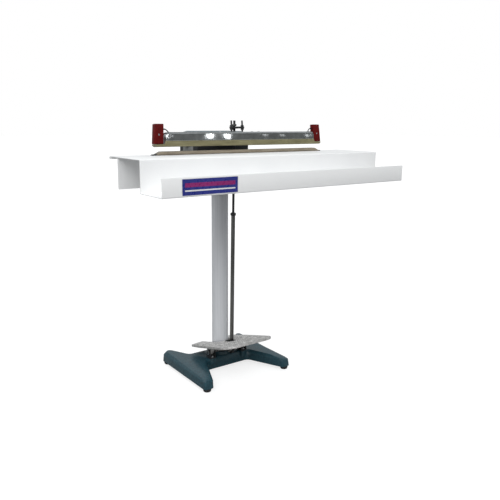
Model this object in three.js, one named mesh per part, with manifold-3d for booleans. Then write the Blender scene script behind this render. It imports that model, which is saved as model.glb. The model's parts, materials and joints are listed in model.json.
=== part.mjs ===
// Foot-operated impulse heat sealer: cast H-shaped base, round column, tilting pedal, pull rod,
// sealing head with a fixed lower jaw and a hinged upper jaw, and a folded sheet-metal work table.
// Millimetres, +Z up. The jaws run along X and the operator stands on the -Y side.
import * as THREE from 'three';
import { mergeVertices } from 'three/addons/utils/BufferGeometryUtils.js';
import Module from 'manifold-3d';

const wasm = await Module();
wasm.setup();

// ---------------------------------------------------------------- driving dimensions
const GAP = 0.3; // clearance kept between touching parts
const FRAME_SHIFT_Y = 129.5; // moves the origin to the overall box's centre

const FOOT = { frontX: 169, frontY: -151, rearX: 164, rearY: 136, radius: 14, height: 11.7 };
const BASE = {
  bottom: 12, frontX: 187, rearX: 181, frontY: -166, rearY: 151, barFront: -28, barRear: 70,
  socketRadius: 42, socketTop: 62,
};
// Heights of the casting's section, with how far its walls have drawn in by there: the front legs'
// outer sides and ends, the rear legs' outer sides and ends, and the inner sides of all four.
const BASE_SECTION = [
  { z: 12, front: [0, 0], rear: [0, 0], inner: 0 },
  { z: 37, front: [3, 2], rear: [2, 1], inner: 1 },
  { z: 42, front: [9, 10], rear: [5, 4], inner: 3 },
  { z: 50, front: [25, 54], rear: [10, 9], inner: 8 },
];
const COLUMN = { y: 25, radius: 30, wall: 2.5, bottom: 20, top: 716 };

const PEDAL = { pivotY: -19, pivotZ: 77, tilt: THREE.MathUtils.degToRad(15.4), thickness: 7, lift: 20 };
const LUG = { x0: 62, x1: 76, radius: 10 };
const BRACKET = { x0: 57, x1: 81, y0: -34, y1: -4, bottom: 54.3, top: 59, cheek: 3.5 };
const SHAFT_RADIUS = 6;

const ROD = { footY: -51.3, footZ: 77, lean: THREE.MathUtils.degToRad(0.952), pinRadius: 4 };
const ROD_TUBE = { radius: 7, bore: 5, start: 28, end: 503 };
const ROD_UPPER = { radius: 4.25, start: 480, end: 828 };

const HEAD = { x: 100, front: -50, rear: 117.6, bottom: 716.3, top: 724.3 };
const HOUSING = { x: 106, front: 0, rear: 120, sheet: 2, skirt: 706, top: 860.7 };
const LID = { bottom: 861, top: 868, slope: 17 };
const SUPPORT = { x0: 74, x1: 82, top: 756.7 };
const PIVOT_PLATE = { x0: 70, x1: 78 };
const SPRING = { x: 54, y: 103.5, radius: 6, wire: 1, length: 114, turns: 10 };
const PANEL = { y0: 28, y1: 95, z0: 745, z1: 850, sheet: 2 };
const CONTROLS = { y: 61.5, timerZ: 826, coolingZ: 788, lowZ: 761, switchY: 48, lampY: 80 };
const KNOB = { shaft: 3, skirt: 13, grip: 11, face: -108.6, cap: -122, pointer: -124.5 };
const ROCKER = { halfWidth: 6, holeY: 7, holeZ: 11, restAngle: THREE.MathUtils.degToRad(-8) };
const INLET = { z: 752, fuseX: 34 };
const CORE = { x: 48, y0: 30, y1: 75, z0: 726, z1: 806, legX: 16, windowX: 32, windowZ0: 742, windowZ1: 790 };

const ARM_PIVOT = { y: 70, z: 850, shaftRadius: 7, bossRadius: 13.5 };
const JAW_OPEN = THREE.MathUtils.degToRad(3.98); // the upper jaw rests this far from closed

const TABLE = {
  halfLength: 461, sheet: 2, top: 800, bottom: 707.8, lipTop: 760,
  lip: -410, frontWall: -287, rearWall: -145, rearEdge: -87, rearWallBottom: 707, hem: 12, hemDrop: 8,
};
const SLOT = { x: 344, y0: -132.5, y1: -106.5 };

// The upper jaw's sizes are those of the closed jaw, flat on the lower one.
const LOWER = {
  x: 312, y0: -129.5, y1: -109.5, top: 808.6,
  baseY0: -142.7, baseY1: -104, bottom: 757, shoulder: 797.7,
};
const TERMINAL = { x: 340, halfDepth: 8, bottom: 788, top: 810.6, tip: 799.5 };
const UPPER = { x: 299, y0: -132.1, y1: -108.8, bottom: 813.6, top: 852.2 };
const TONGUE = { x: 332, y0: -129.5, y1: -111.5, top: 819.4 };
const CLOTH = { lowerTop: 811, upperBottom: 811.4, sheet: 1, upperTop: 829 };
const COVER = { y0: -134, y1: -106.9, bottom: 829.4, top: 855.4, sheet: 1.5, endRadius: 18 };
const CAP = { lowX: [304, 336], highX: [300, 330.5], y0: -130, y1: -111, bottom: 819.8, top: 880 };
const YOKE = {
  x: 28, y0: -88, y1: -76, tabX: 10, tabY: -56, bottom: 868.5, top: 874.5, studX: 22, studY: -81.9,
};
const STUD = {
  radius: 3, bottom: 836, top: 894.6, nutFlats: 10,
  nuts: [[852.3, 857], [863.6, 868.2], [874.8, 879.4]],
};
const ARM = { bottom: 838, top: 852, ribBottom: 826, bossHalfLength: 60 };

// ---------------------------------------------------------------- materials
const paint = (color, roughness, metalness) =>
  new THREE.MeshStandardMaterial({ color, roughness, metalness });
const LOOK = {
  hammertone: () => paint(0x35545a, 0.5, 0.3),
  rubber: () => paint(0x141414, 0.9, 0),
  columnPaint: () => paint(0xaeb0b4, 0.45, 0.2),
  steel: () => paint(0x77787a, 0.35, 0.9),
  darkSteel: () => paint(0x2a2a2c, 0.5, 0.7),
  castAluminium: () => paint(0xb0aea8, 0.55, 0.7),
  aluminium: () => paint(0xbfc0c2, 0.4, 0.85),
  chrome: () => paint(0xd8dade, 0.08, 1),
  blackPaint: () => paint(0x16181a, 0.45, 0.2),
  panelGrey: () => paint(0x9b9d9f, 0.5, 0.1),
  whitePaint: () => paint(0xf2f2f2, 0.4, 0),
  cloth: () => paint(0x8f8672, 0.55, 0),
  red: () => paint(0x7a0e14, 0.3, 0),
  blackPlastic: () => paint(0x111112, 0.4, 0),
  lens: () => paint(0xc8461e, 0.2, 0),
  copper: () => paint(0x9a5a34, 0.4, 0.8),
  laminations: () => paint(0x4a4b4e, 0.6, 0.6),
  board: () => paint(0x2f5a38, 0.6, 0),
  nichrome: () => paint(0xa09a90, 0.35, 0.9),
};

// ---------------------------------------------------------------- booleans
function toSolid(geometry) {
  const bare = geometry.clone();
  bare.deleteAttribute('normal');
  bare.deleteAttribute('uv');
  const merged = mergeVertices(bare);
  return new wasm.Manifold(new wasm.Mesh({
    numProp: 3,
    vertProperties: new Float32Array(merged.attributes.position.array),
    triVerts: new Uint32Array(merged.index.array),
  }));
}

function toGeometry(solid) {
  const mesh = solid.getMesh();
  const geometry = new THREE.BufferGeometry();
  geometry.setAttribute('position', new THREE.BufferAttribute(new Float32Array(mesh.vertProperties), 3));
  geometry.setIndex(new THREE.BufferAttribute(new Uint32Array(mesh.triVerts), 1));
  geometry.computeVertexNormals();
  return geometry;
}

const join = (...parts) => toGeometry(parts.map(toSolid).reduce((all, part) => all.add(part)));
const cut = (body, ...tools) =>
  toGeometry(tools.map(toSolid).reduce((left, tool) => left.subtract(tool), toSolid(body)));

// ---------------------------------------------------------------- shapes
const sorted = (a, b) => [Math.min(a, b), Math.max(a, b)];

function box(xs, ys, zs) {
  const spans = [xs, ys, zs].map(([a, b]) => sorted(a, b));
  const geometry = new THREE.BoxGeometry(...spans.map(([low, high]) => high - low));
  return geometry.translate(...spans.map(([low, high]) => (low + high) / 2));
}

// A cylinder along one axis; centre gives the other two coordinates, in X, Y, Z order.
function rod(axis, radius, [from, to], [a, b], sides = 20) {
  const [low, high] = sorted(from, to);
  const geometry = new THREE.CylinderGeometry(radius, radius, high - low, sides);
  const middle = (low + high) / 2;
  if (axis === 'x') return geometry.rotateZ(-Math.PI / 2).translate(middle, a, b);
  if (axis === 'y') return geometry.translate(a, middle, b);
  return geometry.rotateX(Math.PI / 2).translate(a, b, middle);
}

// A closed outline through [x, y, corner radius] points.
function outline(points) {
  const shape = new THREE.Shape();
  points.forEach(([x, y, radius = 0], i) => {
    const corner = new THREE.Vector2(x, y);
    const towards = (point) => new THREE.Vector2(...point).sub(corner).setLength(radius).add(corner);
    const before = towards(points.at(i - 1));
    const after = towards(points[(i + 1) % points.length]);
    if (i === 0) shape.moveTo(before.x, before.y);
    else shape.lineTo(before.x, before.y);
    if (radius > 0) shape.quadraticCurveTo(x, y, after.x, after.y);
  });
  return shape;
}

const plate = (shape, [z0, z1], curveSegments = 4) =>
  new THREE.ExtrudeGeometry(shape, { depth: z1 - z0, bevelEnabled: false, curveSegments })
    .translate(0, 0, z0);

// A (y, z) section pulled along X.
const SECTION_TO_X = new THREE.Matrix4().makeBasis(
  new THREE.Vector3(0, 1, 0), new THREE.Vector3(0, 0, 1), new THREE.Vector3(1, 0, 0));
function bar(shape, xs, curveSegments = 4) {
  return plate(shape, sorted(...xs), curveSegments).applyMatrix4(SECTION_TO_X);
}

// An (x, z) outline pulled along Y.
const panel = (shape, [y0, y1], curveSegments = 4) =>
  plate(shape, [-y1, -y0], curveSegments).rotateX(Math.PI / 2);

// A solid whose outline changes from one shape at the bottom to another at the top.
function drafted(lowPoints, highPoints, [z0, z1], curveSegments = 4) {
  const low = outline(lowPoints).getPoints(curveSegments);
  const high = outline(highPoints).getPoints(curveSegments);
  const geometry = plate(new THREE.Shape(low), [z0, z1]);
  const position = geometry.attributes.position;
  for (let i = 0; i < position.count; i += 1) {
    if (position.getZ(i) > (z0 + z1) / 2) {
      const here = new THREE.Vector2(position.getX(i), position.getY(i));
      const distances = low.map((point) => point.distanceTo(here));
      const match = high[distances.indexOf(Math.min(...distances))];
      position.setXY(i, match.x, match.y);
    }
  }
  geometry.computeVertexNormals();
  return geometry;
}

const rectangle = (x0, x1, y0, y1, radius = 0) =>
  [[x0, y0, radius], [x1, y0, radius], [x1, y1, radius], [x0, y1, radius]];

const hexNut = (acrossFlats, [z0, z1], bore) => {
  const nut = rod('z', acrossFlats / Math.sqrt(3), [z0, z1], [0, 0], 6);
  return bore ? cut(nut, rod('z', bore, [z0 - 1, z1 + 1], [0, 0], 16)) : nut;
};

class Helix extends THREE.Curve {
  constructor(radius, height, turns) {
    super();
    Object.assign(this, { radius, height, turns });
  }

  getPoint(t) {
    const angle = 2 * Math.PI * this.turns * t;
    return new THREE.Vector3(this.radius * Math.cos(angle), this.radius * Math.sin(angle), this.height * t);
  }
}

function tube(path, radius, sides, steps) {
  const section = new THREE.Shape();
  section.absarc(0, 0, radius, 0, 2 * Math.PI);
  const polygon = new THREE.Shape(section.getPoints(sides).slice(0, sides));
  return new THREE.ExtrudeGeometry(polygon, { extrudePath: path, steps, bevelEnabled: false });
}

// ---------------------------------------------------------------- scene graph
const sealer = new THREE.Group();
sealer.position.y = FRAME_SHIFT_Y;

// Everything on the upper arm is drawn closed, then swung open about the arm's pivot.
const armPivot = new THREE.Group();
armPivot.position.set(0, ARM_PIVOT.y, ARM_PIVOT.z);
armPivot.rotation.x = -JAW_OPEN;
const arm = new THREE.Group();
arm.position.set(0, -ARM_PIVOT.y, -ARM_PIVOT.z);
armPivot.add(arm);

// The pedal is drawn level, with its pivot at the group's origin.
const pedal = new THREE.Group();
pedal.position.set(0, PEDAL.pivotY, PEDAL.pivotZ);
pedal.rotation.x = -PEDAL.tilt;

// The pull rod is drawn upright, with the centre of its lower eye at the group's origin.
const pullRod = new THREE.Group();
pullRod.position.set(0, ROD.footY, ROD.footZ);
pullRod.rotation.x = ROD.lean;

sealer.add(armPivot, pedal, pullRod);

function add(name, geometry, look, parent = sealer) {
  const mesh = new THREE.Mesh(geometry, LOOK[look]());
  mesh.name = name;
  parent.add(mesh);
  return mesh;
}

const SIDES = [['left', -1], ['right', 1]];

// ---------------------------------------------------------------- base and column
function baseOutline({ front: [frontSide, frontEnd], rear: [rearSide, rearEnd], inner }) {
  const front = BASE.frontY + frontEnd;
  const rear = BASE.rearY - rearEnd;
  const frontWall = (y) => 90 + (BASE.barFront - y) * 0.45 + inner;
  const rearWall = (y) => 105 + (y - BASE.barRear) * 0.55 + inner;
  const right = [
    [frontWall(BASE.barFront), BASE.barFront + inner, 14],
    [frontWall(front + 20), front + 20, 8],
    [frontWall(front), front, 8],
    [BASE.frontX - frontSide, front, 13],
    [BASE.rearX - rearSide, rear, 13],
    [rearWall(rear), rear, 8],
    [rearWall(rear - 20), rear - 20, 8],
    [rearWall(BASE.barRear), BASE.barRear - inner, 14],
  ];
  const left = right.map(([x, y, radius]) => [-x, y, radius]).reverse();
  return [...right, ...left];
}

function baseCasting() {
  const tiers = BASE_SECTION.slice(1).map((high, i) => {
    const low = BASE_SECTION[i];
    return drafted(baseOutline(low), baseOutline(high), [low.z, high.z]);
  });
  const socket = rod('z', BASE.socketRadius, [BASE.bottom, BASE.socketTop], [0, COLUMN.y], 40);
  const pads = SIDES.map(([, side]) => box([side * 57, side * 81], [-35, -3], [BASE.bottom + 20, 54]));
  const pocketZ = [BASE.bottom - 1, 42];
  const pocketOutlines = [
    [[46, -18], [96, -18], [96, 60], [46, 60]],
    [[104, -4], [104, -24], [160, -132], [165, -132], [165, -4]],
    [[104, 10], [162, 10], [162, 118], [152, 118], [114, 58], [104, 50]],
  ];
  const pockets = SIDES.flatMap(([, side]) =>
    pocketOutlines.map((points) => plate(outline(points.map(([x, y]) => [side * x, y])), pocketZ)));
  const bore = rod('z', COLUMN.radius + GAP, [COLUMN.bottom - GAP, BASE.socketTop + 1], [0, COLUMN.y], 40);
  const screwHole = rod('y', 5 + GAP, [COLUMN.y + COLUMN.radius - 1, 90], [0, 56], 16);
  return cut(join(...tiers, socket, ...pads), ...pockets, bore, screwHole);
}

add('base_casting', baseCasting(), 'hammertone');

for (const [row, x, y] of [['front', FOOT.frontX, FOOT.frontY], ['rear', FOOT.rearX, FOOT.rearY]]) {
  for (const [name, side] of SIDES) {
    const profile = [[0, 0], [12, 0], [FOOT.radius, 3], [FOOT.radius, FOOT.height], [0, FOOT.height]];
    const foot = new THREE.LatheGeometry(profile.map(([r, z]) => new THREE.Vector2(r, z)), 24);
    foot.rotateX(Math.PI / 2).translate(side * x, y, 0);
    add(`foot_${row}_${name}`, foot, 'rubber');
  }
}

const columnHeight = [COLUMN.bottom, COLUMN.top];
add('column_tube', cut(
  rod('z', COLUMN.radius, columnHeight, [0, COLUMN.y], 40),
  rod('z', COLUMN.radius - COLUMN.wall, [COLUMN.bottom - 1, COLUMN.top + 1], [0, COLUMN.y], 32),
), 'columnPaint');

add('column_set_screw', join(
  rod('y', 5, [COLUMN.y + COLUMN.radius + GAP, 68], [0, 56], 16),
  rod('y', 8, [67.6, 73], [0, 56], 6),
), 'darkSteel');

// ---------------------------------------------------------------- pedal
for (const [name, side] of SIDES) {
  const { x0, x1, y0, y1, bottom, top, cheek } = BRACKET;
  const cheekShape = outline([[y0, 56], [y1, 56], [y1 - 4, 82, 6], [PEDAL.pivotY, 88, 6], [y0 + 4, 82, 6]]);
  const bracket = join(
    box([side * x0, side * x1], [y0, y1], [bottom, top]),
    bar(cheekShape, [side * x0, side * (x0 + cheek)]),
    bar(cheekShape, [side * (x1 - cheek), side * x1]),
  );
  const bore = rod('x', SHAFT_RADIUS + GAP, [-90, 90], [PEDAL.pivotY, PEDAL.pivotZ]);
  add(`pedal_bracket_${name}`, cut(bracket, bore), 'blackPaint');
}
add('pedal_shaft', rod('x', SHAFT_RADIUS, [-85, 85], [PEDAL.pivotY, PEDAL.pivotZ]), 'steel');

function pedalPlate() {
  const right = [[34, 112, 4], [52, 112, 10], [95, 95, 8], [103, 25, 20], [105, -145, 14], [76, -174, 20]];
  const left = right.map(([x, y, radius]) => [-x, y, radius]).reverse();
  const slotFloor = [[-34, 2.7, 20], [34, 2.7, 20]];
  const tread = plate(outline([...right, ...left, ...slotFloor]), [PEDAL.lift, PEDAL.lift + PEDAL.thickness]);
  const ribZ = [PEDAL.lift - 6, PEDAL.lift + 1];
  const ribs = SIDES.map(([, side]) => box([side * 40, side * 46], [-140, 80], ribZ));
  const lugs = SIDES.map(([, side]) => bar(
    outline([[-LUG.radius, 0, 8], [0, -LUG.radius - 1, 6], [LUG.radius, 0, 8], [20, PEDAL.lift + 1],
      [-20, PEDAL.lift + 1]]), [side * LUG.x0, side * LUG.x1]));
  const ears = SIDES.map(([, side]) => box([side * 8, side * 14], [-47, -18], [-5, PEDAL.lift + 1]));
  const rodSlot = plate(outline(rectangle(-9.5, 9.5, -50, -14, 9)), [PEDAL.lift - 1, PEDAL.lift + 9]);
  const shaftBore = rod('x', SHAFT_RADIUS + GAP, [-90, 90], [0, 0]);
  const pin = new THREE.Vector2(ROD.footY - PEDAL.pivotY, 0).rotateAround(new THREE.Vector2(), PEDAL.tilt);
  const pinBore = rod('x', ROD.pinRadius + GAP, [-20, 20], [pin.x, pin.y], 16);
  return cut(join(tread, ...ribs, ...lugs, ...ears), rodSlot, shaftBore, pinBore);
}

add('pedal_plate', pedalPlate(), 'castAluminium', pedal);
add('rod_pin', rod('x', ROD.pinRadius, [-17, 17], [ROD.footY, ROD.footZ], 16), 'steel');

// ---------------------------------------------------------------- pull rod
add('rod_eye', cut(
  join(rod('x', 11, [-5, 5], [0, 0], 24), rod('z', 5.5, [6, ROD_TUBE.start - GAP], [0, 0], 16)),
  rod('x', ROD.pinRadius + 1.6, [-6, 6], [0.6, 0]),
), 'darkSteel', pullRod);
add('pull_rod_tube', cut(
  rod('z', ROD_TUBE.radius, [ROD_TUBE.start, ROD_TUBE.end], [0, 0], 24),
  rod('z', ROD_TUBE.bore, [ROD_TUBE.start - 1, ROD_TUBE.end + 1], [0, 0], 16),
), 'steel', pullRod);
const upperBore = ROD_UPPER.radius + GAP;
add('rod_lock_nut', hexNut(17, [ROD_TUBE.end + GAP, ROD_TUBE.end + 10], upperBore), 'darkSteel', pullRod);
const upperRod = rod('z', ROD_UPPER.radius, [ROD_UPPER.start, ROD_UPPER.end], [0, 0], 16);
add('pull_rod_upper', upperRod, 'steel', pullRod);
add('rod_top_nut', hexNut(13, [809.6, 816], upperBore), 'steel', pullRod);

// ---------------------------------------------------------------- head structure
const collarBore = COLUMN.radius + GAP;
const collarProfile = [
  [42, 668], [42, 704], [60, 710], [60, 716], [collarBore, 716], [collarBore, 668], [42, 668],
];
const collar = new THREE.LatheGeometry(collarProfile.map(([r, z]) => new THREE.Vector2(r, z)), 32);
add('head_collar', collar.rotateX(Math.PI / 2).translate(0, COLUMN.y, 0), 'blackPaint');
const headShape = outline(rectangle(-HEAD.x, HEAD.x, HEAD.front, HEAD.rear, 8));
add('head_plate', plate(headShape, [HEAD.bottom, HEAD.top]), 'blackPaint');

for (const [name, side] of SIDES) {
  const seat = HEAD.top + GAP;
  const front = LOWER.baseY0 + GAP;
  const supportShape = outline([
    [front, SUPPORT.top], [front, 738], [-70, seat], [30, seat], [30, 744], [-60, 744], [-96, SUPPORT.top],
  ]);
  add(`jaw_support_${name}`, bar(supportShape, [side * SUPPORT.x0, side * SUPPORT.x1]), 'blackPaint');
  const plateShape = outline([[34, seat], [106, seat], [106, 736], [86, 864, 14], [54, 864, 14], [34, 736]]);
  add(`pivot_plate_${name}`, cut(
    bar(plateShape, [side * PIVOT_PLATE.x0, side * PIVOT_PLATE.x1]),
    rod('x', ARM_PIVOT.shaftRadius + GAP, [-90, 90], [ARM_PIVOT.y, ARM_PIVOT.z]),
  ), 'steel');
}
add('arm_shaft', rod('x', ARM_PIVOT.shaftRadius, [-80, 80], [ARM_PIVOT.y, ARM_PIVOT.z]), 'steel');

for (const [name, side] of SIDES) {
  const spring = tube(new Helix(SPRING.radius, SPRING.length, SPRING.turns), SPRING.wire, 5, 90);
  add(`return_spring_${name}`, spring.translate(side * SPRING.x, SPRING.y, HEAD.top + GAP + 1.2), 'steel');
}

// ---------------------------------------------------------------- housing and controls
const wallZ = [HOUSING.skirt, HOUSING.top];
const innerX = HOUSING.x - HOUSING.sheet;
const controlHoles = [
  rod('x', 4, [-120, -90], [CONTROLS.y, CONTROLS.timerZ], 16),
  rod('x', 4, [-120, -90], [CONTROLS.y, CONTROLS.coolingZ], 16),
  rod('x', 5.5, [-120, -90], [CONTROLS.lampY, CONTROLS.lowZ], 16),
  box([-120, -90], [CONTROLS.switchY - ROCKER.holeY, CONTROLS.switchY + ROCKER.holeY],
    [CONTROLS.lowZ - ROCKER.holeZ, CONTROLS.lowZ + ROCKER.holeZ]),
];
const leftWall = box([-HOUSING.x, -innerX], [HOUSING.front, HOUSING.rear], wallZ);
add('housing_left', cut(leftWall, ...controlHoles), 'blackPaint');
add('housing_right', box([innerX, HOUSING.x], [HOUSING.front, HOUSING.rear], wallZ), 'blackPaint');

const endX = innerX - GAP;
const endZ = [HEAD.top + GAP, HOUSING.top];
const supportNotches = SIDES.map(([, side]) =>
  box([side * (SUPPORT.x0 - 1), side * (SUPPORT.x1 + 1)], [-5, 10], [700, 745]));
add('housing_front', cut(box([-endX, endX], [HOUSING.front, HOUSING.sheet], endZ),
  box([-47, 47], [-5, 10], [820, HOUSING.top + 1]), ...supportNotches), 'blackPaint');
add('housing_rear', cut(box([-endX, endX], [HOUSING.rear - HOUSING.sheet, HOUSING.rear], endZ),
  box([-14, 14], [110, 130], [INLET.z - 10, INLET.z + 10]),
  rod('y', 6.5, [110, 130], [INLET.fuseX, INLET.z], 16)), 'blackPaint');

function lidPoints(inset) {
  return rectangle(-HOUSING.x + inset, HOUSING.x - inset, HOUSING.front + inset, HOUSING.rear - inset, 4);
}
add('top_cover', cut(
  drafted(lidPoints(0), lidPoints(LID.slope), [LID.bottom, LID.top]),
  drafted(lidPoints(2), lidPoints(LID.slope + 2), [LID.bottom - 2, LID.top - 2]),
), 'hammertone');

const panelX = -HOUSING.x - GAP;
const panelPlate = box([panelX - PANEL.sheet, panelX], [PANEL.y0, PANEL.y1], [PANEL.z0, PANEL.z1]);
add('control_panel', cut(panelPlate, ...controlHoles), 'panelGrey');

for (const [name, z] of [['timer_knob', CONTROLS.timerZ], ['cooling_knob', CONTROLS.coolingZ]]) {
  const place = [CONTROLS.y, z];
  const knob = join(
    rod('x', KNOB.shaft, [-112, -98], place, 12),
    rod('x', KNOB.skirt, [-113, KNOB.face], place, 32),
    rod('x', KNOB.grip, [KNOB.cap, -112.5], place, 24),
    box([KNOB.pointer, KNOB.cap + 1], [CONTROLS.y - 1.5, CONTROLS.y + 1.5], [z - 2, z + 10.5]),
  );
  add(name, knob, 'blackPlastic');
}

// The rocker rests in its off position, its upper half standing out of the panel.
const rockerXs = [-ROCKER.halfWidth, ROCKER.halfWidth];
const rocker = bar(outline([[0, -9], [0, 9], [6, 9.5], [4.2, 0], [6, -9.5]]), rockerXs);
rocker.rotateZ(Math.PI / 2);
const rockerMesh = add('power_switch', rocker, 'blackPlastic');
rockerMesh.position.set(-104, CONTROLS.switchY, CONTROLS.lowZ);
rockerMesh.rotation.y = ROCKER.restAngle;

add('pilot_lamp', join(
  rod('x', 5, [-110, -95], [CONTROLS.lampY, CONTROLS.lowZ], 16),
  rod('x', 7, [-110.5, -108.6], [CONTROLS.lampY, CONTROLS.lowZ], 24),
  new THREE.SphereGeometry(5, 16, 10).translate(-110, CONTROLS.lampY, CONTROLS.lowZ),
), 'lens');

function powerInlet() {
  const flange = plate(outline(rectangle(-24, 24, -14, 14, 4)), [0, 3]);
  const body = box([-13.5, 13.5], [-9.5, 9.5], [-22, 1]);
  const recess = plate(outline([[-11, -6.5], [11, -6.5], [11, 3], [8, 6.5], [-8, 6.5], [-11, 3]]), [-15, 5]);
  const pins = [[-6.5, -1], [6.5, -1], [0, 2.5]].map(([x, y]) =>
    box([x - 1, x + 1], [y - 2, y + 2], [-16, -3]));
  const inlet = join(cut(join(flange, body), recess), ...pins);
  return inlet.rotateX(-Math.PI / 2).rotateY(Math.PI).translate(0, HOUSING.rear + GAP, INLET.z);
}
add('power_inlet', powerInlet(), 'blackPlastic');
add('fuse_holder', join(
  rod('y', 6, [98, HOUSING.rear + 2], [INLET.fuseX, INLET.z], 16),
  rod('y', 8.5, [HOUSING.rear + GAP, HOUSING.rear + 9], [INLET.fuseX, INLET.z], 20),
), 'blackPlastic');

// ---------------------------------------------------------------- electrics inside the housing
add('transformer_core', cut(box([-CORE.x, CORE.x], [CORE.y0, CORE.y1], [CORE.z0, CORE.z1]),
  ...SIDES.map(([, side]) =>
    box([side * CORE.legX, side * CORE.windowX], [0, 120], [CORE.windowZ0, CORE.windowZ1]))), 'laminations');
add('transformer_coil', cut(
  box([-CORE.windowX + GAP, CORE.windowX - GAP], [15, 90], [CORE.windowZ0 + GAP, CORE.windowZ1 - GAP]),
  box([-CORE.legX - GAP, CORE.legX + GAP], [CORE.y0 - GAP, CORE.y1 + GAP], [700, 830]),
), 'copper');
add('timer_board', join(
  box([84, 85.6], [20, 104], [740, 830]),
  box([85.4, 99], [26, 46], [745, 765]),
  box([85.4, 94], [52, 80], [744, 756]),
  ...[30, 48, 66].map((y) => rod('x', 5, [85.4, 97], [y, 800], 16)),
  box([85.4, 89], [74, 96], [775, 812]),
), 'board');
add('microswitch', join(
  box([62, 69.7], [84, 104], [800, 813]),
  box([64, 67], [98, 101], [812.5, 834]),
), 'blackPlastic');

// ---------------------------------------------------------------- lower jaw
add('lower_jaw_bar', bar(outline([
  [LOWER.baseY0, LOWER.bottom], [LOWER.baseY1, LOWER.bottom], [LOWER.baseY1, LOWER.shoulder],
  [LOWER.y1, LOWER.shoulder], [LOWER.y1, LOWER.top], [LOWER.y0, LOWER.top], [LOWER.y0, LOWER.shoulder],
  [LOWER.baseY0, LOWER.shoulder],
]), [-LOWER.x, LOWER.x]), 'aluminium');

const jawMiddle = (LOWER.y0 + LOWER.y1) / 2;
const element = (halfLength, zs) => box([-halfLength, halfLength], [jawMiddle - 3, jawMiddle + 3], zs);
add('lower_element', element(LOWER.x, [LOWER.top + GAP, LOWER.top + 1.1]), 'nichrome');
// A sheet folded over a bar, open at the bottom (up = -1) or at the top (up = 1).
function foldedSheet([y0, y1], sheet, closedZ, openZ, xs) {
  const step = Math.sign(openZ - closedZ) * sheet;
  return bar(outline([
    [y0, openZ], [y0 + sheet, openZ], [y0 + sheet, closedZ + step], [y1 - sheet, closedZ + step],
    [y1 - sheet, openZ], [y1, openZ], [y1, closedZ], [y0, closedZ],
  ]), xs);
}
add('lower_ptfe_cover', foldedSheet([LOWER.y0 - 1.4, LOWER.y1 + 1.4], CLOTH.sheet, CLOTH.lowerTop, 800.5,
  [-LOWER.x, LOWER.x]), 'cloth');
for (const [name, side] of SIDES) {
  const { x, halfDepth, bottom, top, tip } = TERMINAL;
  const inner = LOWER.x + 0.4;
  const wedge = outline([[inner, bottom], [x, bottom], [x, tip], [inner + 2, top], [inner, top]]);
  const block = panel(wedge, [-halfDepth, halfDepth]);
  if (side < 0) block.rotateZ(Math.PI);
  add(`lower_terminal_${name}`, block.translate(0, jawMiddle, 0), 'blackPlastic');
}

// ---------------------------------------------------------------- work table
function workTable() {
  const { sheet, top, bottom, lipTop, lip, frontWall, rearWall, rearEdge, rearWallBottom, hem } = TABLE;
  const hemZ = top - TABLE.hemDrop;
  const section = outline([
    [lip, lipTop], [lip, bottom, 3], [frontWall + sheet, bottom, 3],
    [frontWall + sheet, top - sheet, 1], [rearWall, top - sheet], [rearWall, rearWallBottom],
    [rearWall + sheet, rearWallBottom], [rearWall + sheet, top - sheet],
    [rearEdge - hem, top - sheet], [rearEdge - hem, hemZ], [rearEdge, hemZ, 2],
    [rearEdge, top, 2], [frontWall, top, 3], [frontWall, bottom + sheet, 1],
    [lip + sheet, bottom + sheet, 1], [lip + sheet, lipTop],
  ]);
  const body = bar(section, [-TABLE.halfLength, TABLE.halfLength], 3);
  return cut(body, box([-SLOT.x, SLOT.x], [SLOT.y0, SLOT.y1], [top - 20, top + 5]));
}
add('work_table', workTable(), 'whitePaint');

// ---------------------------------------------------------------- upper jaw and arm
function jawArm() {
  const right = [[42, 56], [44, -58, 12], [92, -94, 8], [92, COVER.y1 + GAP, 3]];
  const left = right.map(([x, y, radius]) => [-x, y, radius]).reverse();
  const body = join(
    plate(outline([...right, ...left]), [ARM.bottom, ARM.top]),
    rod('x', ARM_PIVOT.bossRadius, [-ARM.bossHalfLength, ARM.bossHalfLength], [ARM_PIVOT.y, ARM_PIVOT.z], 24),
    ...SIDES.flatMap(([, side]) => [
      box([side * 34, side * 42], [-56, 64], [ARM.ribBottom, ARM.bottom + 2]),
      box([side * (SPRING.x - 6), side * (SPRING.x + 6)], [70, 112], [844, 856]),
    ]),
  );
  return cut(body,
    rod('x', ARM_PIVOT.shaftRadius + GAP, [-90, 90], [ARM_PIVOT.y, ARM_PIVOT.z]),
    plate(outline(rectangle(-7, 7, -72, -57, 5)), [830, 860]),
    ...SIDES.map(([, side]) => rod('z', STUD.radius + GAP, [830, 860], [side * YOKE.studX, YOKE.studY], 16)));
}
add('jaw_arm', jawArm(), 'castAluminium', arm);

// An upright slab with rounded upper corners at both ends, seen from the front.
function roundEnded(halfLength, ys, [z0, z1], radius) {
  const face = [[-halfLength, z0], [halfLength, z0], [halfLength, z1, radius], [-halfLength, z1, radius]];
  return panel(outline(face), ys, 6);
}

add('upper_jaw_bar', join(
  roundEnded(UPPER.x - 1, [UPPER.y0, UPPER.y1], [UPPER.bottom, UPPER.top], COVER.endRadius),
  box([-TONGUE.x, TONGUE.x], [TONGUE.y0, TONGUE.y1], [UPPER.bottom, TONGUE.top]),
), 'aluminium', arm);
add('upper_element', element(TONGUE.x, [UPPER.bottom - 0.9, UPPER.bottom - GAP]), 'nichrome', arm);

const clothY = [UPPER.y0 - GAP - CLOTH.sheet, UPPER.y1 + GAP + CLOTH.sheet];
add('upper_ptfe_cover', join(
  foldedSheet(clothY, CLOTH.sheet, CLOTH.upperBottom, CLOTH.upperTop, [-UPPER.x, UPPER.x]),
  foldedSheet(clothY, CLOTH.sheet, CLOTH.upperBottom, TONGUE.top, [-TONGUE.x, TONGUE.x]),
), 'cloth', arm);

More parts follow.
